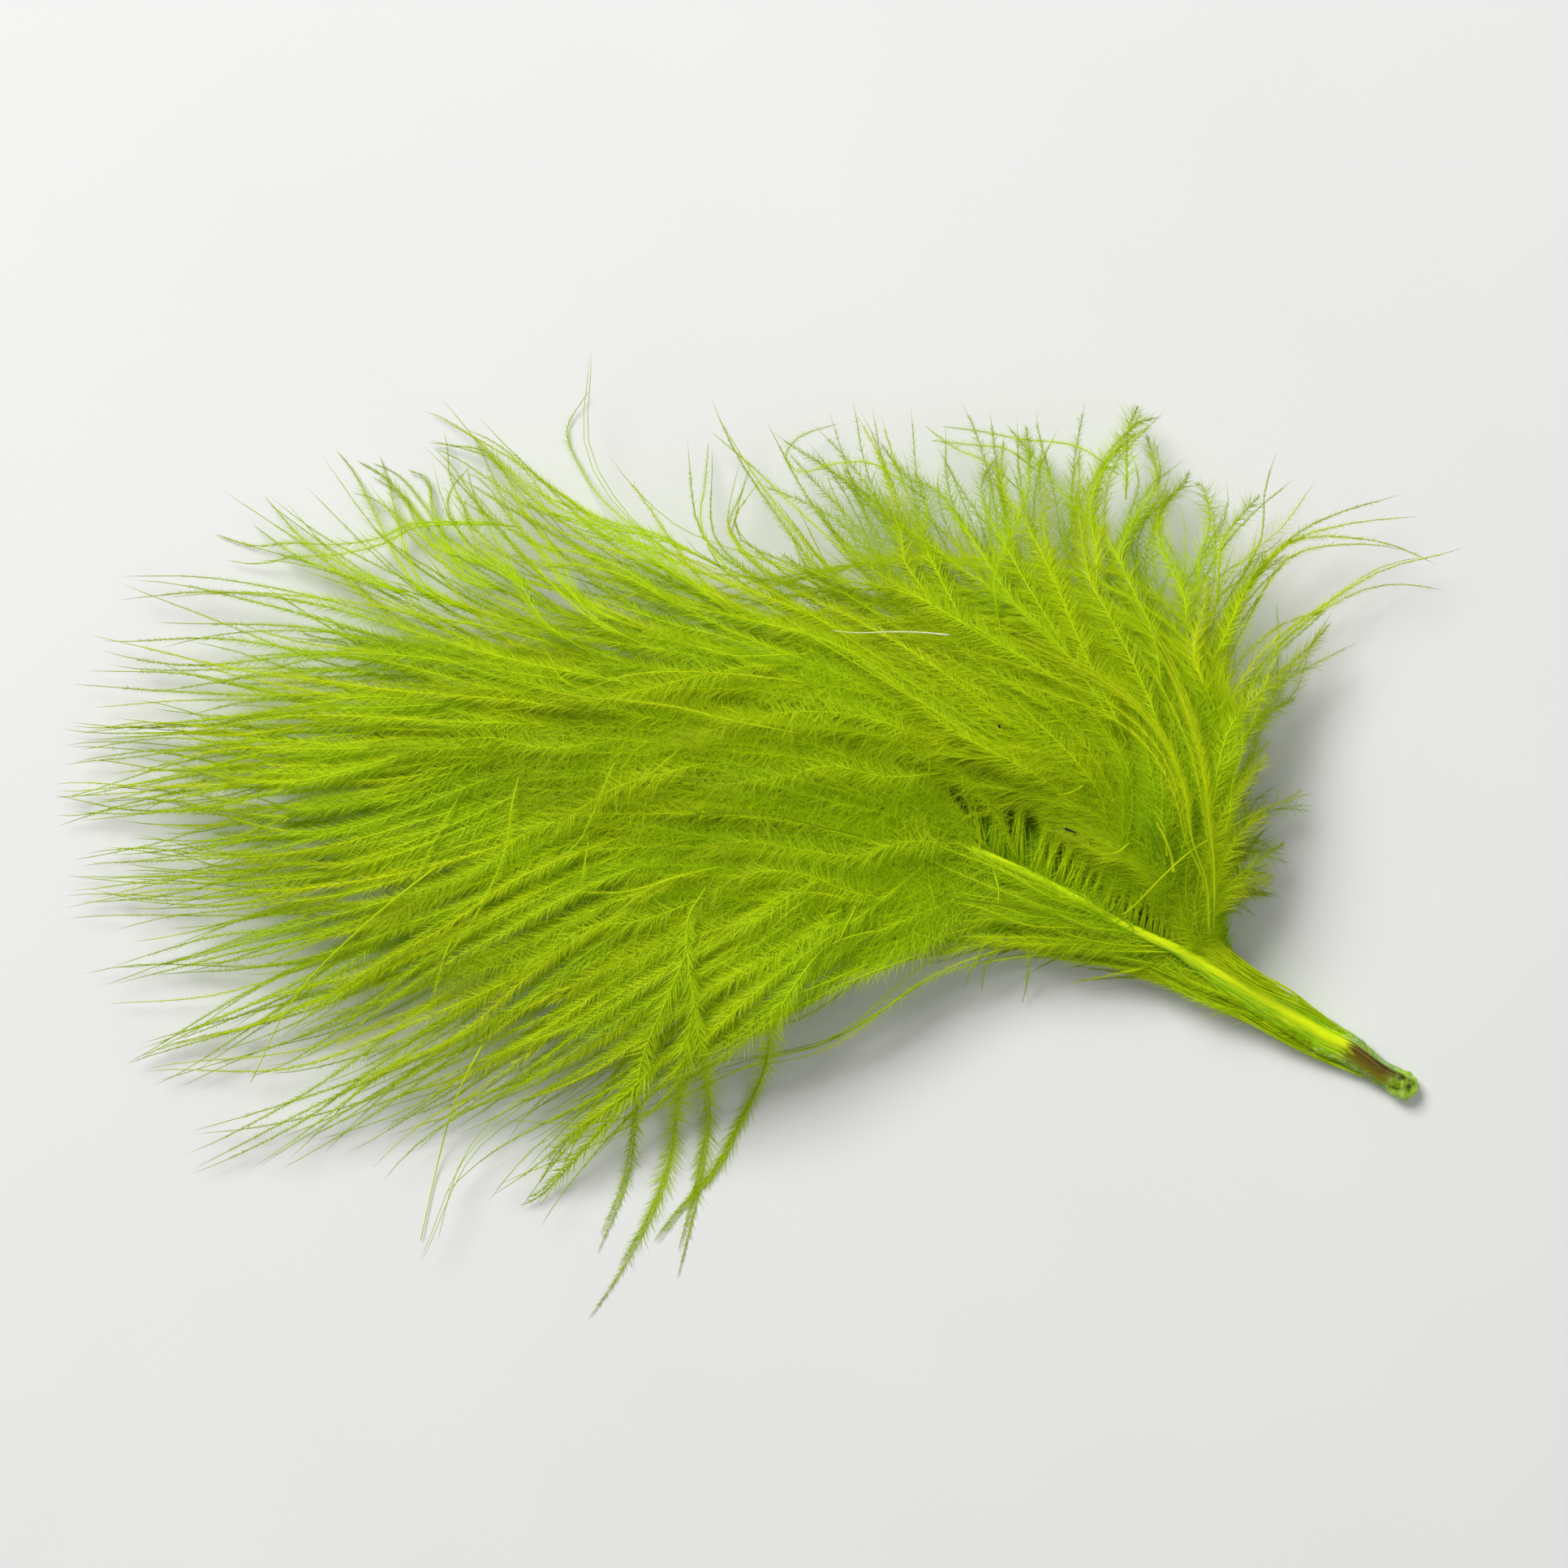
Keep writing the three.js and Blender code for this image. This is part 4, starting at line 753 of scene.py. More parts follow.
def lift_at(t, root, crest, tip):
    """The height of a lock's centre line: up from the shaft to its crest, then down to its tip."""
    up = mix(root, crest, np.sin(np.pi / 2 * np.minimum(t / CREST_AT, 1.0)))
    fall = np.clip((t - CREST_AT) / (1.0 - CREST_AT), 0.0, 1.0)
    return np.where(t < CREST_AT, up, mix(crest, tip, (1.0 - np.cos(np.pi * fall)) / 2))


def fullness(t, taper):
    """The share of its full width that a lock has at t."""
    rise = mix(ROOT_SHARE, 1.0, t / FULL_FROM)
    fall = 1.0 - np.clip((t - FULL_TO) / (1.0 - FULL_TO), 0.0, 1.0) ** taper
    return np.maximum(np.where(t < FULL_FROM, rise, fall), TIP_SHARE)


def wander(s, size, rng):
    """A slow, smooth sideways drift along each barb that grows towards its tip."""
    phase = rng.uniform(0.0, 2 * np.pi, (3, len(s), 1))
    waves = rng.uniform(*WANDER_SPEEDS, (3, len(s), 1)) * WANDER_WAVES
    drift = (WANDER_SIZES * np.sin(2 * np.pi * waves * s + phase)).sum(axis=0)
    return size * drift * mix(WANDER_ROOT, 1.0, s)


def side_roots(root, order, root_gap, level, aside):
    """Where the barbs of one lock grow out of the side of the shaft."""
    own = shaft_at(root + (order - 0.5) * root_gap)
    on_side = own[:, :3] - UP * (own[:, 3:] * mix(*ROOT_HEIGHTS, level))
    along_shaft = unit(shaft_at(root + 0.5)[:2] - shaft_at(root - 0.5)[:2])
    outward = np.array([-along_shaft[1], along_shaft[0]]) * aside
    on_side[:, :2] += outward * own[:, 3:]
    return on_side


def bundle(run, root_gap, zone, crest, tip, width, depth, rng):
    """The barbs of one lock: lines with a point for each station, and which of them lie on top."""
    count = zone["barbs"]
    root, *passes = run
    start = shaft_at(root)
    line = line_through([start[:2], *passes])
    places = lengths_along(line)
    places /= places[-1]

    ends = 1.0 - zone["short"] * rng.uniform(0.0, 1.0, count) ** SHORT_POWER
    ends[rng.integers(count)] = 1.0
    s = np.linspace(0.0, 1.0, STATIONS)[None, :].repeat(count, axis=0)
    t = s * ends[:, None] * zone["reach"]
    centre = read_line(line, places, t)
    ahead = unit(np.gradient(centre, axis=1))
    across = np.stack([-ahead[..., 1], ahead[..., 0]], axis=-1)

    share = fullness(t, zone["taper"])
    order = (rng.permutation(count) + rng.uniform(*ORDER_JITTER, count)) / count
    place = (2 * order - 1)[:, None]
    aside = place * share * width / 2 * zone["spread"] + wander(s, zone["wander"], rng)
    bend = rng.normal(0.0, zone["hook"], (count, 1))
    aside = aside + bend * np.clip((s - HOOK_FROM) / (1.0 - HOOK_FROM), 0.0, 1.0) ** 2

    upper = rng.uniform(0.0, 1.0, (count, 1)) < zone["upper"]
    level = rng.uniform(0.0, 1.0, (count, 1))
    lift = lift_at(t, start[2], crest, tip)
    crown = depth * share * np.sqrt(np.clip(1.0 - place**2, 0.0, 1.0))
    body = fade(t, 0.0, FULL_FROM) * fade(t, 1.0, BODY_END)
    below = level * (lift - FLOOR_GAP) * LOWEST * body
    z = np.where(upper, lift + crown * level, lift - below)
    z = z + WANDER_UP * wander(s, zone["wander"], rng)
    paths = np.concatenate([centre + across * aside[..., None], z[..., None]], axis=-1)

    # Each barb starts on the shaft's side at a root of its own and then joins its place in the lock.
    gap = side_roots(root, order, root_gap, level, zone["aside"]) - paths[:, 0]
    paths = paths + gap[:, None, :] * (1.0 - smooth(t / ROOT_SPREAD))[..., None]
    paths[..., 2] = np.maximum(paths[..., 2], FLOOR_GAP + RAMUS_ROOT)
    return paths, upper[:, 0]


def zone_barbs(zone, filled, rng):
    """All barbs of one zone, lock by lock, each as a line and a look."""
    last = len(zone["runs"]) - 1
    gaps = np.abs(np.gradient([run[0] for run in zone["runs"]]))
    zone = {**LOOK, **zone}
    looks = [zone, {**zone, **FILL_LOOK}] if filled else [zone]
    barbs = []
    for i, run in enumerate(zone["runs"]):
        crest, tip, width, depth = (mix(*zone[key], i / last) for key in ("crest", "tip", "width", "depth"))
        crest -= LAYER_STEP if i % 2 else 0.0
        gap = zone.get("root_gap", max(gaps[i], LEAST_GAP))
        for look in looks:
            paths, upper = bundle(run, gap, look, crest, tip, width, depth, rng)
            for path, on_top in zip(paths, upper):
                step = look["step"] * (1.0 if on_top else LOWER_STEP)
                barbs.append((path, {**look, "step": step}))
    return barbs


def quads(a, b, c, d):
    """Two triangles for each set of four corners."""
    return np.stack([a, b, c, a, c, d], axis=-1).reshape(-1, 3)


def ramus(path, radius_root, radius_tip):
    """A barb's own shaft, a thin tube that tapers to a point: points, triangles and places along it."""
    ahead = unit(np.gradient(path, axis=0))
    side = unit(np.cross(UP, ahead) + TINY)
    up = np.cross(ahead, side)
    places = lengths_along(path)
    s = places / places[-1]
    radius = mix(radius_root, radius_tip, s**RAMUS_TAPER)
    angle = 2 * np.pi * (np.arange(RAMUS_SIDES) + 0.25)[None, :, None] / RAMUS_SIDES
    spokes = np.cos(angle) * side[:-1, None, :] + np.sin(angle) * up[:-1, None, :]
    rings = path[:-1, None, :] + radius[:-1, None, None] * spokes
    points = np.vstack([rings.reshape(-1, 3), path[-1:]])
    row = np.arange(len(path) - 2)[:, None] * RAMUS_SIDES
    a = row + np.arange(RAMUS_SIDES)[None, :]
    b = row + (np.arange(RAMUS_SIDES)[None, :] + 1) % RAMUS_SIDES
    ring = (len(path) - 2) * RAMUS_SIDES + np.arange(RAMUS_SIDES)
    cap = np.stack([ring, np.roll(ring, -1), np.full(RAMUS_SIDES, len(points) - 1)], axis=-1)
    base = np.array([[k, 0, k + 1] for k in range(1, RAMUS_SIDES - 1)])
    faces = np.vstack([base, quads(a, b, b + RAMUS_SIDES, a + RAMUS_SIDES), cap])
    along = np.append(s[:-1].repeat(RAMUS_SIDES), 1.0)
    return points, faces, along


def swirl(places):
    """By how many degrees the barbules turn at each place, in a slow pattern over the plume."""
    along, size, across = SWIRL_WAVES
    return SWIRL * np.sin(along * places[:, 0] + size * np.sin(across * places[:, 1]))


def barbules(path, look, rng):
    """The two rows of fine spikes on one barb. Gives points, triangles, and along, edge and row side."""
    if look["fluff"] <= 0.0:
        return None
    places = lengths_along(path)
    total = places[-1]
    step = BARBULE_STEP * look["step"] / 2
    first = total * look["start"]
    last = total * (1.0 - look["bare"] * rng.uniform(*BARE_SPREAD))
    where = np.arange(first, last, step)
    where = where + rng.uniform(-STEP_JITTER, STEP_JITTER, len(where)) * step
    n = len(where)
    if n < 2:
        return None
    s = where / total
    side = np.where(np.arange(n) % 2, 1.0, -1.0)
    foot = read_line(path, places, where)
    ahead = unit(read_line(unit(np.gradient(path, axis=0)), places, where))
    level = unit(np.cross(UP, ahead) + TINY)
    up = np.cross(ahead, level)

    turn = np.radians(rng.normal(0.0, look["splay"], n))
    out = side[:, None] * np.cos(turn)[:, None] * level + np.sin(turn)[:, None] * up
    grow = smooth((s - first / total) / BARBULE_GROW) * smooth((last / total - s) / look["brush"])
    length = look["fluff"] * mix(BARBULE_ENDS, 1.0, grow) * mix(1.0, look["thin"], s)
    length = length * rng.uniform(*BARBULE_LENGTHS, n)
    lean = np.radians(look["lean"] + swirl(foot) + rng.normal(0.0, look["tousle"], n))
    close = lean - np.radians(rng.normal(*BARBULE_CLOSE, n))
    tip = foot
    for angle in (lean, close):
        tip = tip + (length / 2)[:, None] * (np.cos(angle)[:, None] * ahead + np.sin(angle)[:, None] * out)
    tip = tip + rng.normal(0.0, BARBULE_SHAKE, (n, 3))
    facing = unit(UP + rng.normal(0.0, BARBULE_FACING, (n, 3)))
    wide = unit(np.cross(tip - foot, facing)) * (look["thick"] * BARBULE_WIDTH / 2)
    points, faces = spikes(foot, tip, wide)
    points[:, 2] = np.maximum(points[:, 2], FLOOR_GAP)
    along = np.stack([s - MAP_FOOT, s + MAP_FOOT, s + length / total], axis=1)
    edge = np.array([0.0, 0.0, 1.0])
    return points, faces, np.clip(along, 0.0, 1.0).reshape(-1), np.tile(edge, n), side.repeat(len(edge))


def blades(foot, knee, tip, wide):
    """Thin bent blades, each of three triangles, from foot over knee to tip."""
    narrow = BLADE_KNEE * wide
    points = np.stack([foot - wide, foot + wide, knee - narrow, knee + narrow, tip], axis=1)
    faces = np.arange(len(foot))[:, None, None] * 5 + np.array([[0, 1, 3], [0, 3, 2], [2, 3, 4]])[None]
    return points.reshape(-1, 3), faces.reshape(-1, 3)


def spikes(foot, tip, wide):
    """Thin straight blades, each of one triangle, from foot to tip."""
    points = np.stack([foot - wide, foot + wide, tip], axis=1)
    return points.reshape(-1, 3), np.arange(len(foot) * 3).reshape(-1, 3)


def across_strip(count, reach):
    """Where the points of a tube lie across their strip of the map, corner by corner."""
    return 0.5 + reach * np.resize([-1.0, 0.0, 1.0], count)


class Piece:
    """Collects points, triangles and what the materials read, and makes them into one object."""

    def __init__(self, name):
        self.name = name
        self.points, self.faces, self.values, self.map = [], [], [], []
        self.size = 0

    def add(self, points, faces, along, edge, tone, row):
        self.points.append(points)
        self.faces.append(faces + self.size)
        self.values.append(np.stack([along, edge, np.full(len(points), tone)], axis=1))
        self.map.append(row)
        self.size += len(points)

    def barb(self, path, look, rng):
        """One barb with its barbules, on a strip of the map of its own."""
        tone = rng.uniform(*look["tone"])
        strip = len(self.map)
        points, faces, along = ramus(path, RAMUS_ROOT * look["ramus"], RAMUS_TIP * look["ramus"])
        height = across_strip(len(points), MAP_SHAFT)
        self.add(points, faces, along, np.zeros(len(points)), tone, (strip, along, height))
        made = barbules(path, look, rng)
        if made:
            points, faces, along, edge, side = made
            self.add(points, faces, along, edge, tone, (strip, along, 0.5 + side * mix(*MAP_ROWS, edge)))

    def make(self):
        """The object, in metres."""
        points = np.concatenate(self.points) * MM
        faces = np.concatenate(self.faces).astype(np.int32)
        values = np.concatenate(self.values).astype(np.float32)
        strips = {strip: i for i, strip in enumerate(sorted({row[0] for row in self.map}))}
        u = np.concatenate([row[1] for row in self.map])
        v = np.concatenate([(strips[row[0]] + row[2]) / len(strips) for row in self.map])
        mesh = mesh_of(self.name, points, faces)
        for k, name in enumerate(("along", "edge", "tone")):
            mesh.attributes.new(name, "FLOAT", "POINT").data.foreach_set("value", values[:, k].copy())
        uv = np.stack([u, v], axis=1)[faces.reshape(-1)].astype(np.float32)
        mesh.uv_layers.new(name=BAKE_MAP).data.foreach_set("uv", uv.reshape(-1))
        return add_object(self.name, mesh)


def mesh_of(name, points, faces):
    """A mesh from arrays of points in metres and triangles."""
    mesh = bpy.data.meshes.new(name)
    mesh.vertices.add(len(points))
    mesh.vertices.foreach_set("co", np.asarray(points, np.float32).reshape(-1))
    mesh.loops.add(faces.size)
    mesh.loops.foreach_set("vertex_index", faces.reshape(-1))
    mesh.polygons.add(len(faces))
    mesh.polygons.foreach_set("loop_start", np.arange(0, faces.size, 3, dtype=np.int32))
    mesh.update(calc_edges=True)
    return mesh


def add_object(name, mesh):
    obj = bpy.data.objects.new(name, mesh)
    bpy.context.scene.collection.objects.link(obj)
    return obj


def dress(obj, material):
    """Gives a piece its material and its body, and lets it stand for the plain solid."""
    obj.data.materials.append(material)
    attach(obj, "root")
    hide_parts("feather")


# The quill.

def quill_frame():
    """Stations along the quill: middle, half width, length from the rounded end, ahead, side and up."""
    line = line_through(QUILL, QUILL_SPAN)
    middle, half = line[:, :3], np.maximum(line[:, 3], LEAST_HALF)
    ahead = unit(np.gradient(middle, axis=0))
    side = unit(np.cross(UP, ahead))
    return middle, half, lengths_along(middle), ahead, side, np.cross(ahead, side)


def waves_round(turn, reach, waves):
    return sum(np.sin(count * turn + start + slant * reach) for count, start, slant in waves)


def quill_mesh():
    """One closed tube with a smooth ridge on top, streaked flanks and a wrinkled, rounded end."""
    middle, half, reach, ahead, side, up = (part[:, None] for part in quill_frame())
    turn = 2 * np.pi * np.arange(QUILL_SIDES + 1) / QUILL_SIDES - np.pi / 2
    turn = np.broadcast_to(turn, (len(middle), QUILL_SIDES + 1))
    lower, height = np.cos(turn), np.sin(turn)
    across = -lower * half
    flank = fade(np.abs(across), *RIDGE_EDGE) * fade(half, 0.0, STREAKED_FROM)
    bulb = fade(reach, *BULB_TO) * fade(reach, 0.0, BULB_FROM)
    streaks = STREAK * flank * waves_round(turn, reach, STREAKS)
    wrinkles = WRINKLE * bulb * waves_round(turn, reach, WRINKLES)
    grown = half + streaks + wrinkles
    ridge = RIDGE_RISE * fade(reach, *RIDGE_FROM) * fade(half, *RIDGE_NEEDS)
    ridge = ridge * np.exp(-((across - RIDGE_ASIDE) / RIDGE_WIDE) ** 2) * (height > 0)
    points = middle + side * (lower * grown)[..., None]
    points = points + up * (height * grown * QUILL_FLAT + ridge)[..., None]
    rows, columns = turn.shape

    start = np.arange(rows - 1)[:, None] * columns + np.arange(columns - 1)[None, :]
    first, last = np.arange(columns - 1), (rows - 1) * columns + np.arange(columns - 1)
    ends = rows * columns
    caps = [
        np.stack([first + 1, first, np.full(len(first), ends)], axis=-1),
        np.stack([last, last + 1, np.full(len(last), ends + 1)], axis=-1),
    ]
    points = np.vstack([points.reshape(-1, 3), middle[0], middle[-1]])
    points[:, 2] = np.maximum(points[:, 2], FLOOR_GAP)
    faces = np.vstack([quads(start, start + 1, start + columns + 1, start + columns), *caps])
    along = np.append(np.broadcast_to(reach, turn.shape), [0.0, reach[-1, 0]])
    edge = np.append(across, [0.0, 0.0])
    u = np.append(np.broadcast_to(np.linspace(*MAP_QUILL, rows)[:, None], turn.shape), [0.0, 1.0])
    v = np.append(np.broadcast_to(np.arange(columns) / (columns - 1), turn.shape), [0.5, 0.5])
    return points, faces, along, edge, (0, u, v)


def sheath_flakes(piece, rng):
    """Small pointed splinters along both sides of the quill, that lie towards the plume."""
    parts = quill_frame()
    reach = parts[2]
    parts = [part.reshape(len(reach), -1) for part in parts]
    for low, high, which, count, size in FLAKES:
        for where in rng.uniform(low, high, count):
            at, wide, _, on, side, top = (read_line(part, reach, where) for part in parts)
            tilt = np.radians(rng.uniform(*FLAKE_TILT))
            outward = np.sin(tilt) * QUILL_FLAT * top - which * np.cos(tilt) * side
            length = size * rng.uniform(*FLAKE_LENGTHS)
            lift = np.radians(rng.uniform(*FLAKE_LIFT))
            curl = lift * FLAKE_CURL
            foot = at + outward * wide * FLAKE_ROOT
            knee = foot + length / 2 * (np.cos(lift) * on + np.sin(lift) * outward)
            tip = knee + length / 2 * (np.cos(curl) * on + np.sin(curl) * outward)
            broad = unit(np.cross(on, outward)) * rng.uniform(*FLAKE_WIDTHS)
            points, faces = blades(foot[None], knee[None], tip[None], broad[None])
            points[:, 2] = np.maximum(points[:, 2], FLOOR_GAP)
            along, edge = (np.full(len(points), FLAKE_LOOK[key]) for key in ("along", "edge"))
            tone = rng.uniform(*FLAKE_LOOK["tone"])
            piece.add(points, faces, along, edge, tone, (len(piece.map), *FLAKE_MAP))


# Materials.

def add_node(tree, kind, inputs=None, **settings):
    """A new node with its settings, and with each named or numbered input set or linked."""
    node = tree.nodes.new(kind)
    for name, value in settings.items():
        setattr(node, name, value)
    for key, value in (inputs or {}).items():
        if isinstance(value, bpy.types.NodeSocket):
            tree.links.new(value, node.inputs[key])
        else:
            node.inputs[key].default_value = value
    return node


def attribute(tree, name):
    return add_node(tree, "ShaderNodeAttribute", attribute_name=name).outputs["Fac"]


def place_on_object(tree):
    return add_node(tree, "ShaderNodeTexCoord").outputs["Object"]


def ramp(tree, value, stops):
    """A colour ramp with (place, colour) stops."""
    node = add_node(tree, "ShaderNodeValToRGB", {0: value})
    elements = node.color_ramp.elements
    while len(elements) < len(stops):
        elements.new(0.5)
    for element, (place, colour) in zip(elements, stops):
        element.position = place
        element.color = (*colour, 1.0)
    return node.outputs[0]


def between(tree, value, low, high, to_low=0.0, to_high=1.0):
    inputs = {0: value, 1: low, 2: high, 3: to_low, 4: to_high}
    return add_node(tree, "ShaderNodeMapRange", inputs, interpolation_type="SMOOTHSTEP").outputs[0]


def maths(tree, operation, a, b=0.0, c=0.5):
    return add_node(tree, "ShaderNodeMath", {0: a, 1: b, 2: c}, operation=operation).outputs[0]


def times(tree, a, b):
    return maths(tree, "MULTIPLY", a, b)


def blend_colours(tree, share, a, b, how="MIX"):
    node = add_node(tree, "ShaderNodeMix", {0: share}, data_type="RGBA", blend_type=how)
    for socket, value in ((node.inputs[6], a), (node.inputs[7], b)):
        if isinstance(value, bpy.types.NodeSocket):
            tree.links.new(value, socket)
        else:
            socket.default_value = (*value, 1.0)
    return node.outputs[2]


def noise(tree, where, scale, detail=3.0, roughness=0.55):
    inputs = {"Vector": where, "Scale": scale, "Detail": detail, "Roughness": roughness}
    return add_node(tree, "ShaderNodeTexNoise", inputs).outputs[0]


def new_material(name):
    material = bpy.data.materials.new(name)
    material.use_nodes = True
    material.node_tree.nodes.clear()
    return material, material.node_tree


def show(tree, shader):
    """Makes a shader node the look of its material."""
    add_node(tree, "ShaderNodeOutputMaterial", {"Surface": shader.outputs[0]})


def barb_material():
    """Dyed barbs: translucent lime that turns olive towards the tips, in shades from barb to barb, with
    painted highlight on their own shafts and the yellowest tones, and painted shade in part of the deep
    green and olive tones.
    """
    material, tree = new_material("dyed_barbs")
    along, edge, tone = (attribute(tree, name) for name in ("along", "edge", "tone"))
    where = place_on_object(tree)
    colour = ramp(tree, along, [
        (0.0, (0.60, 0.82, 0.001)),
        (0.15, (0.66, 0.86, 0.001)),
        (0.5, (0.72, 0.88, 0.001)),
        (0.8, (0.48, 0.62, 0.002)),
        (1.0, (0.30, 0.37, 0.006)),
    ])
    patches = between(tree, noise(tree, where, 160.0), 0.35, 0.7)
    shades = [
        (times(tree, patches, 0.3), (0.44, 0.74, 0.002)),
        # Yellow is partly painted highlight: the arch, its bright lines and the brightest strand use it.
        (between(tree, tone, 0.6, 1.0, 0.0, 0.6), (0.90, 0.94, 0.001)),  # yellow barbs
        (between(tree, tone, 0.5, 0.2, 0.0, 0.4), (0.36, 0.62, 0.001)),  # green barbs
        (times(tree, edge, 0.35), (0.52, 0.62, 0.016)),  # paler ends of the barbules
        # Painted highlight: the barbs' own shafts are colored brighter than their barbules, as if lit.
        (between(tree, edge, 0.06, 0.0, 0.0, 0.42), (0.84, 1.0, 0.006)),  # the barbs' own bright shafts
        # Deep green is partly the barbs' own darker dye and partly painted shade: the hollow under the
        # shaft and the shaded pair.
        (between(tree, tone, 0.2, 0.06, 0.0, 0.9), (0.15, 0.49, 0.001)),  # deep green barbs
        # Olive is used by the olive loop and the olive arcs; on the arcs it is painted shade.
        (between(tree, tone, 0.06, 0.02, 0.0, 0.85), (0.33, 0.42, 0.001)),  # olive barbs
    ]
    for share, shade in shades:
        colour = blend_colours(tree, share, colour, shade)
    fine = noise(tree, where, 2600.0, 2.0)
    principled = add_node(tree, "ShaderNodeBsdfPrincipled", {
        "Base Color": colour,
        "Roughness": between(tree, fine, 0.3, 0.7, 0.42, 0.68),
        "Specular IOR Level": 0.2,
        "Sheen Weight": 0.05,
        "Sheen Roughness": 0.5,
        "Sheen Tint": (0.85, 1.0, 0.3, 1.0),
    })
    through = blend_colours(tree, 1.0, colour, (0.9, 1.0, 0.3), "MULTIPLY")
    translucent = add_node(tree, "ShaderNodeBsdfTranslucent", {"Color": through})
    both = {0: 0.38, 1: principled.outputs[0], 2: translucent.outputs[0]}
    show(tree, add_node(tree, "ShaderNodeMixShader", both))
    return material


def quill_material():
    """Bright ridge, fibrous green flanks, a brown core with a tan and a dark line, and a glassy end with a
    painted bright rim of light.
    """
    material, tree = new_material("quill_and_sheath")
    along, edge = attribute(tree, "along"), attribute(tree, "edge")
    where = place_on_object(tree)
    lengthwise = times(tree, along, 0.45)
    crosswise = times(tree, edge, 9.0)
    grain_at = add_node(tree, "ShaderNodeCombineXYZ", {"X": lengthwise, "Y": crosswise}).outputs[0]
    grain = noise(tree, grain_at, 1.4, 4.0, 0.6)
    flecks = noise(tree, where, 4200.0, 3.0, 0.6)
    blotches = noise(tree, where, 1300.0, 2.0)

    flank = ramp(tree, grain, [
        (0.32, (0.16, 0.42, 0.001)),
        (0.5, (0.40, 0.68, 0.002)),
        (0.68, (0.74, 0.90, 0.006)),
    ])
    ridge = ramp(tree, grain, [
        (0.3, (0.60, 0.84, 0.001)),
        (0.55, (0.80, 0.95, 0.001)),
        (0.75, (0.92, 1.0, 0.002)),
    ])
    off_ridge = maths(tree, "ABSOLUTE", maths(tree, "SUBTRACT", edge, RIDGE_ASIDE))
    on_flank = between(tree, off_ridge, 0.08, 0.46)
    shaft = blend_colours(tree, on_flank, ridge, flank)

    unevenness = times(tree, maths(tree, "SUBTRACT", grain, 0.5), 0.22)
    place = maths(tree, "MULTIPLY_ADD", maths(tree, "ADD", edge, unevenness), 0.5, 0.5)
    core = ramp(tree, place, [
        (0.16, (0.30, 0.46, 0.12)),
        (0.24, (0.20, 0.28, 0.04)),
        (0.30, (0.20, 0.19, 0.006)),
        (0.42, (0.15, 0.12, 0.002)),
        (0.54, (0.11, 0.07, 0.002)),
        (0.60, (0.10, 0.06, 0.002)),
        (0.62, (0.26, 0.18, 0.02)),
        (0.65, (0.025, 0.010, 0.002)),
        (0.70, (0.10, 0.08, 0.008)),
        (0.76, (0.30, 0.48, 0.14)),
    ])
    core = blend_colours(tree, between(tree, blotches, 0.5, 0.7, 0.0, 0.5), core, (0.16, 0.22, 0.02))
    ragged = maths(tree, "ADD", along, times(tree, grain, 3.2))
    colour = blend_colours(tree, between(tree, ragged, 6.0, 7.0), core, shaft)
    glass = ramp(tree, blotches, [
        (0.38, (0.06, 0.06, 0.006)),
        (0.48, (0.20, 0.34, 0.01)),
        (0.62, (0.60, 0.80, 0.16)),
    ])
    off_middle = maths(tree, "ABSOLUTE", edge)
    at_side = between(tree, off_middle, 0.4, 0.6)
    # Painted light: a bright rim on the sides and at the end of the glassy bulb.
    rim_light_mask = maths(tree, "MAXIMUM", at_side, between(tree, along, 0.7, 0.3))
    glass = blend_colours(tree, times(tree, rim_light_mask, 0.8), glass, (0.42, 0.72, 0.03))
    colour = blend_colours(tree, between(tree, along, 1.2, 2.0), glass, colour)

    near_end = between(tree, along, 8.5, 4.5)
    outer = between(tree, off_middle, 0.42, 0.75)
    crusted = times(tree, near_end, outer)
    crust = times(tree, crusted, between(tree, flecks, 0.5, 0.62))
    colour = blend_colours(tree, times(tree, crust, 0.85), colour, (0.58, 0.74, 0.30))

    relief = maths(tree, "ADD", grain, times(tree, flecks, 0.6))
    bump = add_node(tree, "ShaderNodeBump", {"Strength": 0.5, "Distance": 0.00008, "Height": relief})
    roughness = between(tree, along, 1.0, 3.0, 0.12, 0.42)
    shader = add_node(tree, "ShaderNodeBsdfPrincipled", {
        "Base Color": colour,
        "Roughness": maths(tree, "ADD", roughness, times(tree, flecks, 0.12)),
        "Specular IOR Level": 0.25,
        "Normal": bump.outputs[0],
    })
    show(tree, shader)
    return material


def dirt_material(name, dark, light):
    """A crumb or fibre of foreign matter, uneven between a dark and a light colour."""
    material, tree = new_material(name)
    where = place_on_object(tree)
    grain = noise(tree, where, 5000.0, 3.0)
    bump = add_node(tree, "ShaderNodeBump", {"Strength": 0.4, "Distance": 0.00003, "Height": grain})
    shader = add_node(tree, "ShaderNodeBsdfPrincipled", {
        "Base Color": ramp(tree, grain, [(0.35, dark), (0.65, light)]),
        "Roughness": between(tree, grain, 0.3, 0.7, 0.5, 0.8),
        "Specular IOR Level": 0.2,
        "Normal": bump.outputs[0],
    })
    show(tree, shader)
    return material


def floor_material():
    material, tree = new_material("pale_floor")
    where = place_on_object(tree)
    grain = noise(tree, where, 40.0, 2.0)
    colour = ramp(tree, grain, [(0.3, (0.80, 0.80, 0.79)), (0.7, (0.82, 0.82, 0.81))])
    shader = add_node(tree, "ShaderNodeBsdfPrincipled", {"Base Color": colour, "Roughness": 0.8})
    show(tree, shader)
    return material


# The plume.

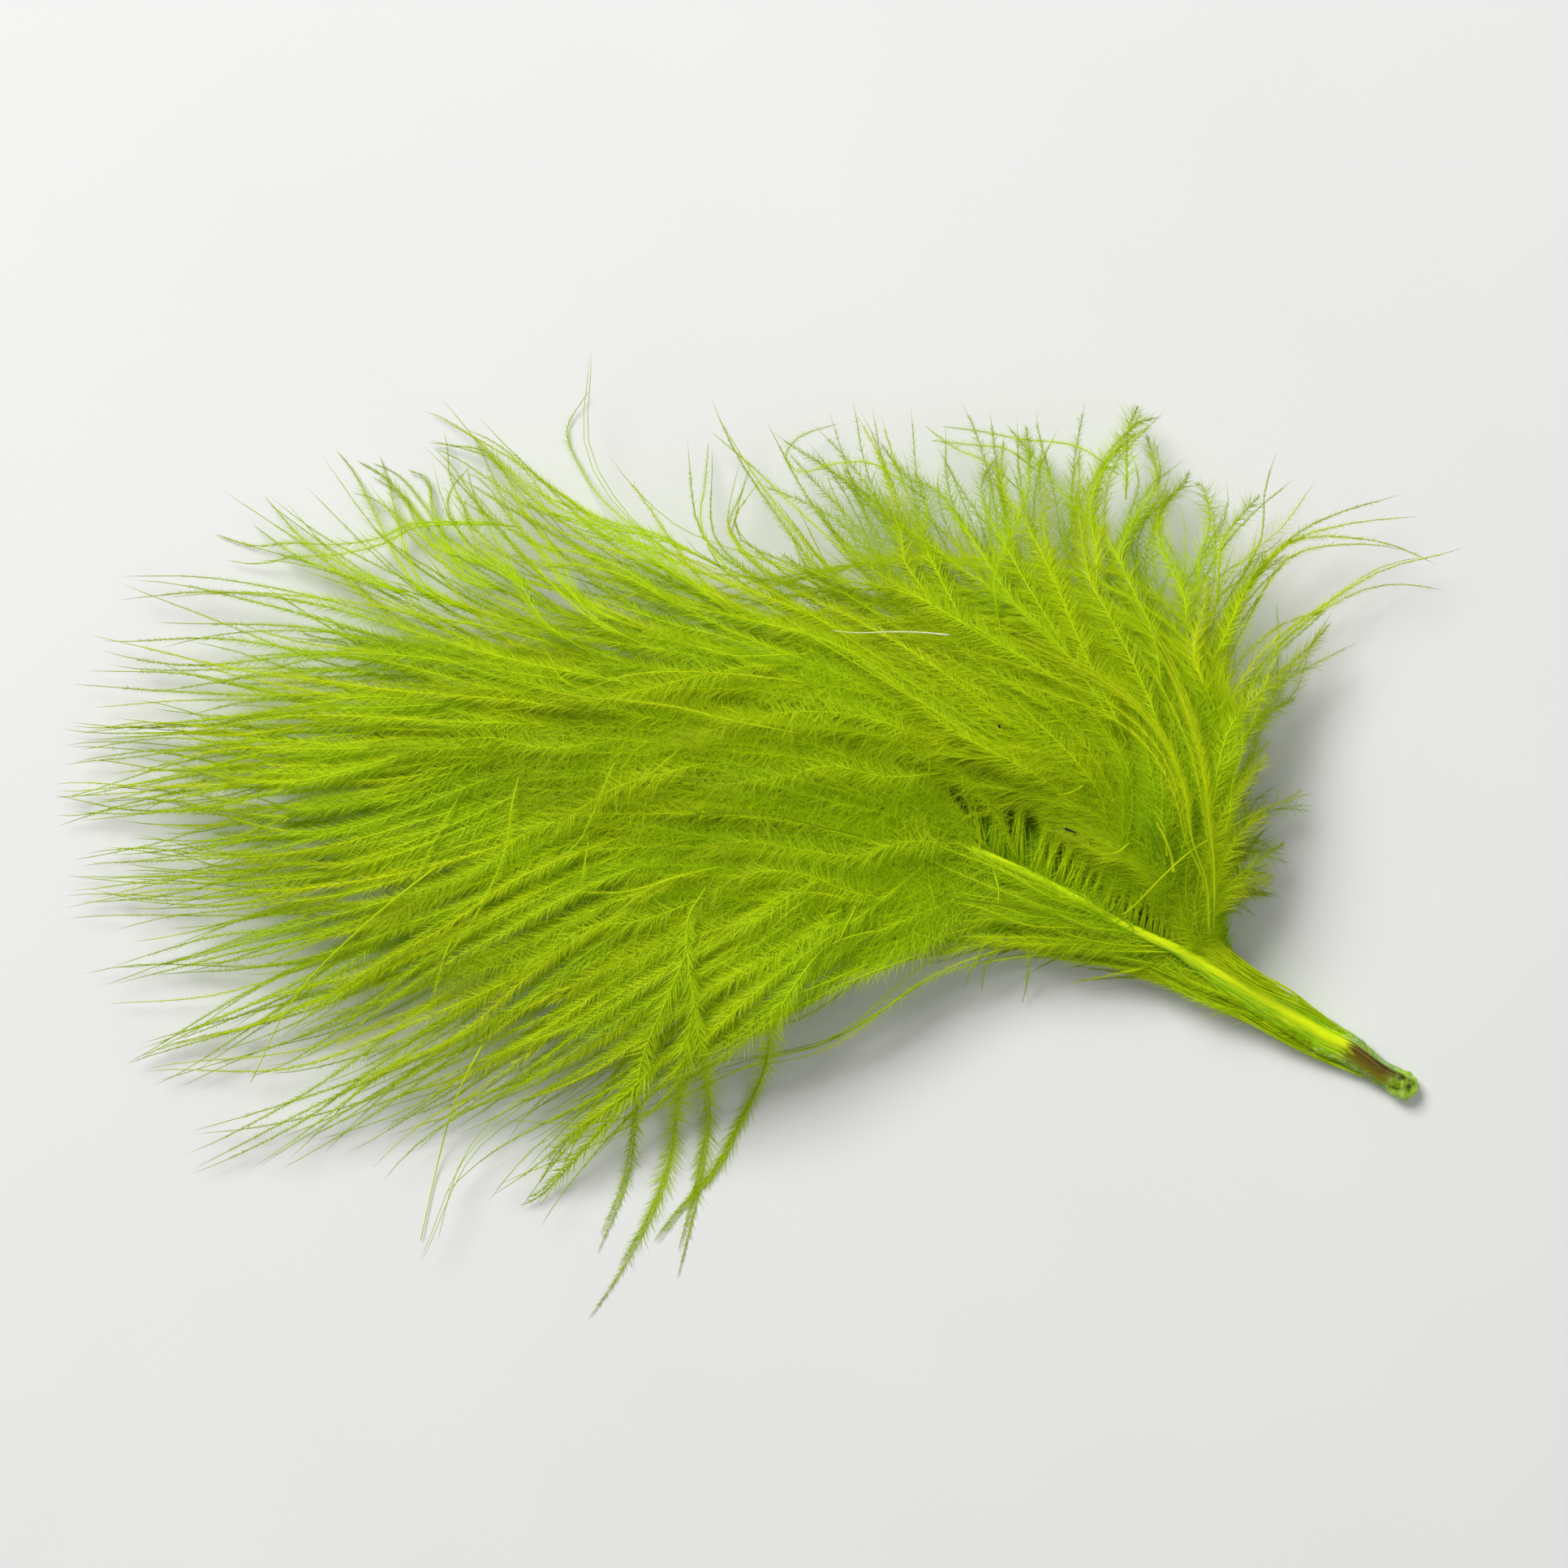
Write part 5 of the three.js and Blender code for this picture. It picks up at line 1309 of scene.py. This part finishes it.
class Fluff:
    """The height of the top of the fluff over a grid."""

    def __init__(self):
        self.grid = np.zeros(GRID_SIZE)

    def heap(self, points):
        """Raises the grid to the given points."""
        cell = ((points[:, :2] - np.array(GRID_LOW)) / GRID_STEP).astype(int)
        cell = np.clip(cell, 0, np.array(GRID_SIZE) - 1)
        np.maximum.at(self.grid, (cell[:, 0], cell[:, 1]), points[:, 2])

    def settle(self):
        """Evens the grid out over neighbouring cells."""
        for _ in range(SETTLE_TIMES):
            wide = np.pad(self.grid, 1, mode="edge")
            rows, columns = GRID_SIZE
            self.grid = sum(wide[i:i + rows, j:j + columns] for i in range(3) for j in range(3)) / 9

    def top(self, points):
        """The height of the fluff at each place."""
        cell = (points[:, :2] - np.array(GRID_LOW)) / GRID_STEP - 0.5
        low = np.clip(cell.astype(int), 0, np.array(GRID_SIZE) - 2)
        i, j = low.T
        a, b = (cell - low).T
        near = mix(self.grid[i, j], self.grid[i + 1, j], a)
        far = mix(self.grid[i, j + 1], self.grid[i + 1, j + 1], a)
        return mix(near, far, b)

    def lay(self, line, above, sunk=0.0):
        """A line of x and y that lies on the fluff, with evened heights and its first end sunk in."""
        places = lengths_along(line)
        height = self.top(line)
        window = np.exp(-((places[:, None] - places[None, :]) / EVEN_OVER) ** 2)
        height = window @ height / window.sum(axis=1)
        height = height + above - sunk * (1.0 - smooth(places / ROOT_SINK))
        return np.column_stack([line, np.maximum(height, FLOOR_GAP + RAMUS_ROOT)])


def even_line(points, count):
    """A smooth line through points of x and y, with evenly spaced stations."""
    line = line_through(points)
    places = lengths_along(line)
    return read_line(line, places, np.linspace(0.0, places[-1], count))


def ladder_barbs(rng):
    """The feet of the barbs on both sides of the shaft, more and more slanted towards the quill."""
    look = {**LOOK, **LADDER_LOOK}
    t = np.linspace(0.0, 1.0, LADDER["stations"])
    barbs = []
    for x in np.arange(LADDER["first"], LADDER["last"], LADDER["step"]):
        share = (x - LADDER["first"]) / (LADDER["last"] - LADDER["first"])
        lean = mix(*LADDER_LEAN, share) + LADDER_TURN * fade(share, LADDER_TURN_FROM, 1.0)
        lean = lean + rng.normal(0.0, LADDER_SHAKE)
        foot = shaft_at(x)
        for side, length, more in ((1.0, LADDER["up"], 0.0), (-1.0, LADDER["down"], LADDER_LOWER)):
            turn = np.radians(lean + more + LADDER_BEND * t**2)
            step = length * rng.uniform(*LADDER_LENGTHS) / (len(t) - 1)
            away = np.column_stack([-np.sin(turn), side * np.cos(turn)]) * step
            start = foot[:2] + np.array([0.0, side * foot[3] * LADDER_ASIDE])
            flat = start + np.cumsum(away, axis=0) - away[0]
            z = foot[2] + LADDER["rise"] * side * np.sin(np.pi / 2 * t) + rng.normal(0.0, LADDER_UNEVEN)
            barbs.append((np.column_stack([flat, z]), look))
    return barbs


def strand_barbs(fluff, rng):
    """The single barbs that lie on top of the fluff, each as a line and a look."""
    t = np.linspace(0.0, 1.0, STRAND_STATIONS)[:, None]
    for group in STRANDS:
        look = {**LOOK, **group}
        for run in group["runs"]:
            line = even_line(run, STRAND_STATIONS)
            ahead = unit(np.gradient(line, axis=0))
            across = np.column_stack([-ahead[:, 1], ahead[:, 0]])
            for i in range(look["twins"]):
                apart = look["apart"] * min(i, 1)
                aside = rng.choice([-1.0, 1.0]) * rng.uniform(*TWIN_SPREAD) * apart
                cut = round(STRAND_STATIONS * (1.0 - TWIN_CUT * rng.uniform() * min(i, 1)))
                twin = (line + across * aside * t**TWIN_BEND)[:cut]
                yield fluff.lay(twin, look["above"] + TWIN_RISE * i, STRAND_SUNK), look


def build_barbs(name, barbs, rng, material):
    """One object of barbs, each given as a line and a look."""
    piece = Piece("barbs_" + name)
    for path, look in barbs:
        piece.barb(path, look, rng)
    dress(piece.make(), material)
    return piece


def build_plume(material):
    """One object for each zone and layer of the plume, and those for the feet and the loose barbs."""
    fluff = Fluff()
    for i, zone in enumerate(ZONES + LAYERS):
        rng = np.random.default_rng([SEED, i])
        piece = build_barbs(zone["name"], zone_barbs(zone, i < len(ZONES), rng), rng, material)
        for points in piece.points:
            fluff.heap(points)
    fluff.heap(quill_mesh()[0])
    fluff.settle()
    rng = np.random.default_rng([SEED, SEEDS["ladder"]])
    build_barbs("ladder", ladder_barbs(rng), rng, material)
    rng = np.random.default_rng([SEED, SEEDS["strands"]])
    build_barbs("strands", strand_barbs(fluff, rng), rng, material)
    return fluff


def build_quill(material, flake_material):
    """The quill with its shaft, and the splinters of its sheath."""
    quill = Piece("quill")
    points, faces, along, edge, row = quill_mesh()
    quill.add(points, faces, along, edge, PLAIN_TONE, row)
    made = quill.make()
    made.data.shade_smooth()
    dress(made, material)
    flakes = Piece("sheath_flakes")
    sheath_flakes(flakes, np.random.default_rng([SEED, SEEDS["sheath"]]))
    dress(flakes.make(), flake_material)


def build_dirt(fluff):
    """Two dark specks and a pale fibre on top of the fluff."""
    speck = dirt_material("dark_speck", (0.010, 0.012, 0.010), (0.035, 0.040, 0.030))
    pale = dirt_material("pale_fibre", (0.62, 0.70, 0.34), (0.86, 0.92, 0.58))
    bits = [
        ("dirt_speck_small", SPECKS[0], speck),
        ("dirt_speck_long", SPECKS[1], speck),
        ("dirt_fibre", FIBRE, pale),
    ]
    for name, (points, radius, above), material in bits:
        path = fluff.lay(even_line(points, DIRT_STATIONS), above + radius)
        piece = Piece(name)
        points, faces, along = ramus(path, radius, radius * DIRT_TAPER)
        row = (0, along, across_strip(len(points), MAP_DIRT))
        piece.add(points, faces, along, np.zeros(len(points)), PLAIN_TONE, row)
        dress(piece.make(), material)


# The stage.

def add_floor():
    half = FLOOR_SIDE / 2
    corners = np.array([(-half, -half, 0.0), (half, -half, 0.0), (half, half, 0.0), (-half, half, 0.0)])
    floor = add_object("floor", mesh_of("floor", corners, np.array([[0, 1, 2], [0, 2, 3]], np.int32)))
    floor.data.materials.append(floor_material())


def add_area_light(name, place, size, power):
    """A soft, square, white light at a place in metres that faces the plume."""
    data = bpy.data.lights.new(name, "AREA")
    data.size, data.energy = size, power
    lamp = bpy.data.objects.new(name, data)
    bpy.context.scene.collection.objects.link(lamp)
    lamp.location = place
    lamp.rotation_euler = (-Vector(place)).to_track_quat("-Z", "Y").to_euler()


def add_world():
    """Even white light from all sides."""
    world = bpy.data.worlds.new("studio")
    world.use_nodes = True
    background = world.node_tree.nodes["Background"]
    background.inputs["Color"].default_value = (1.0, 1.0, 1.0, 1.0)
    background.inputs["Strength"].default_value = WORLD_LIGHT
    bpy.context.scene.world = world


def add_camera():
    data = bpy.data.cameras.new("camera")
    data.lens, data.sensor_width = LENS, SENSOR
    data.clip_start, data.clip_end = CLIP
    camera = bpy.data.objects.new("camera", data)
    bpy.context.scene.collection.objects.link(camera)
    x, y, z = LOOK_AT
    camera.location = (x * MM, y * MM, (z + FRAME_WIDTH * LENS / SENSOR) * MM)
    bpy.context.scene.camera = camera


add_camera()
add_floor()
add_world()
add_area_light("key", **KEY_LIGHT)
add_area_light("fill", **FILL_LIGHT)
bpy.context.scene.view_settings.view_transform = "Standard"

barbs_look = barb_material()
plume_top = build_plume(barbs_look)
build_quill(quill_material(), barbs_look)
build_dirt(plume_top)
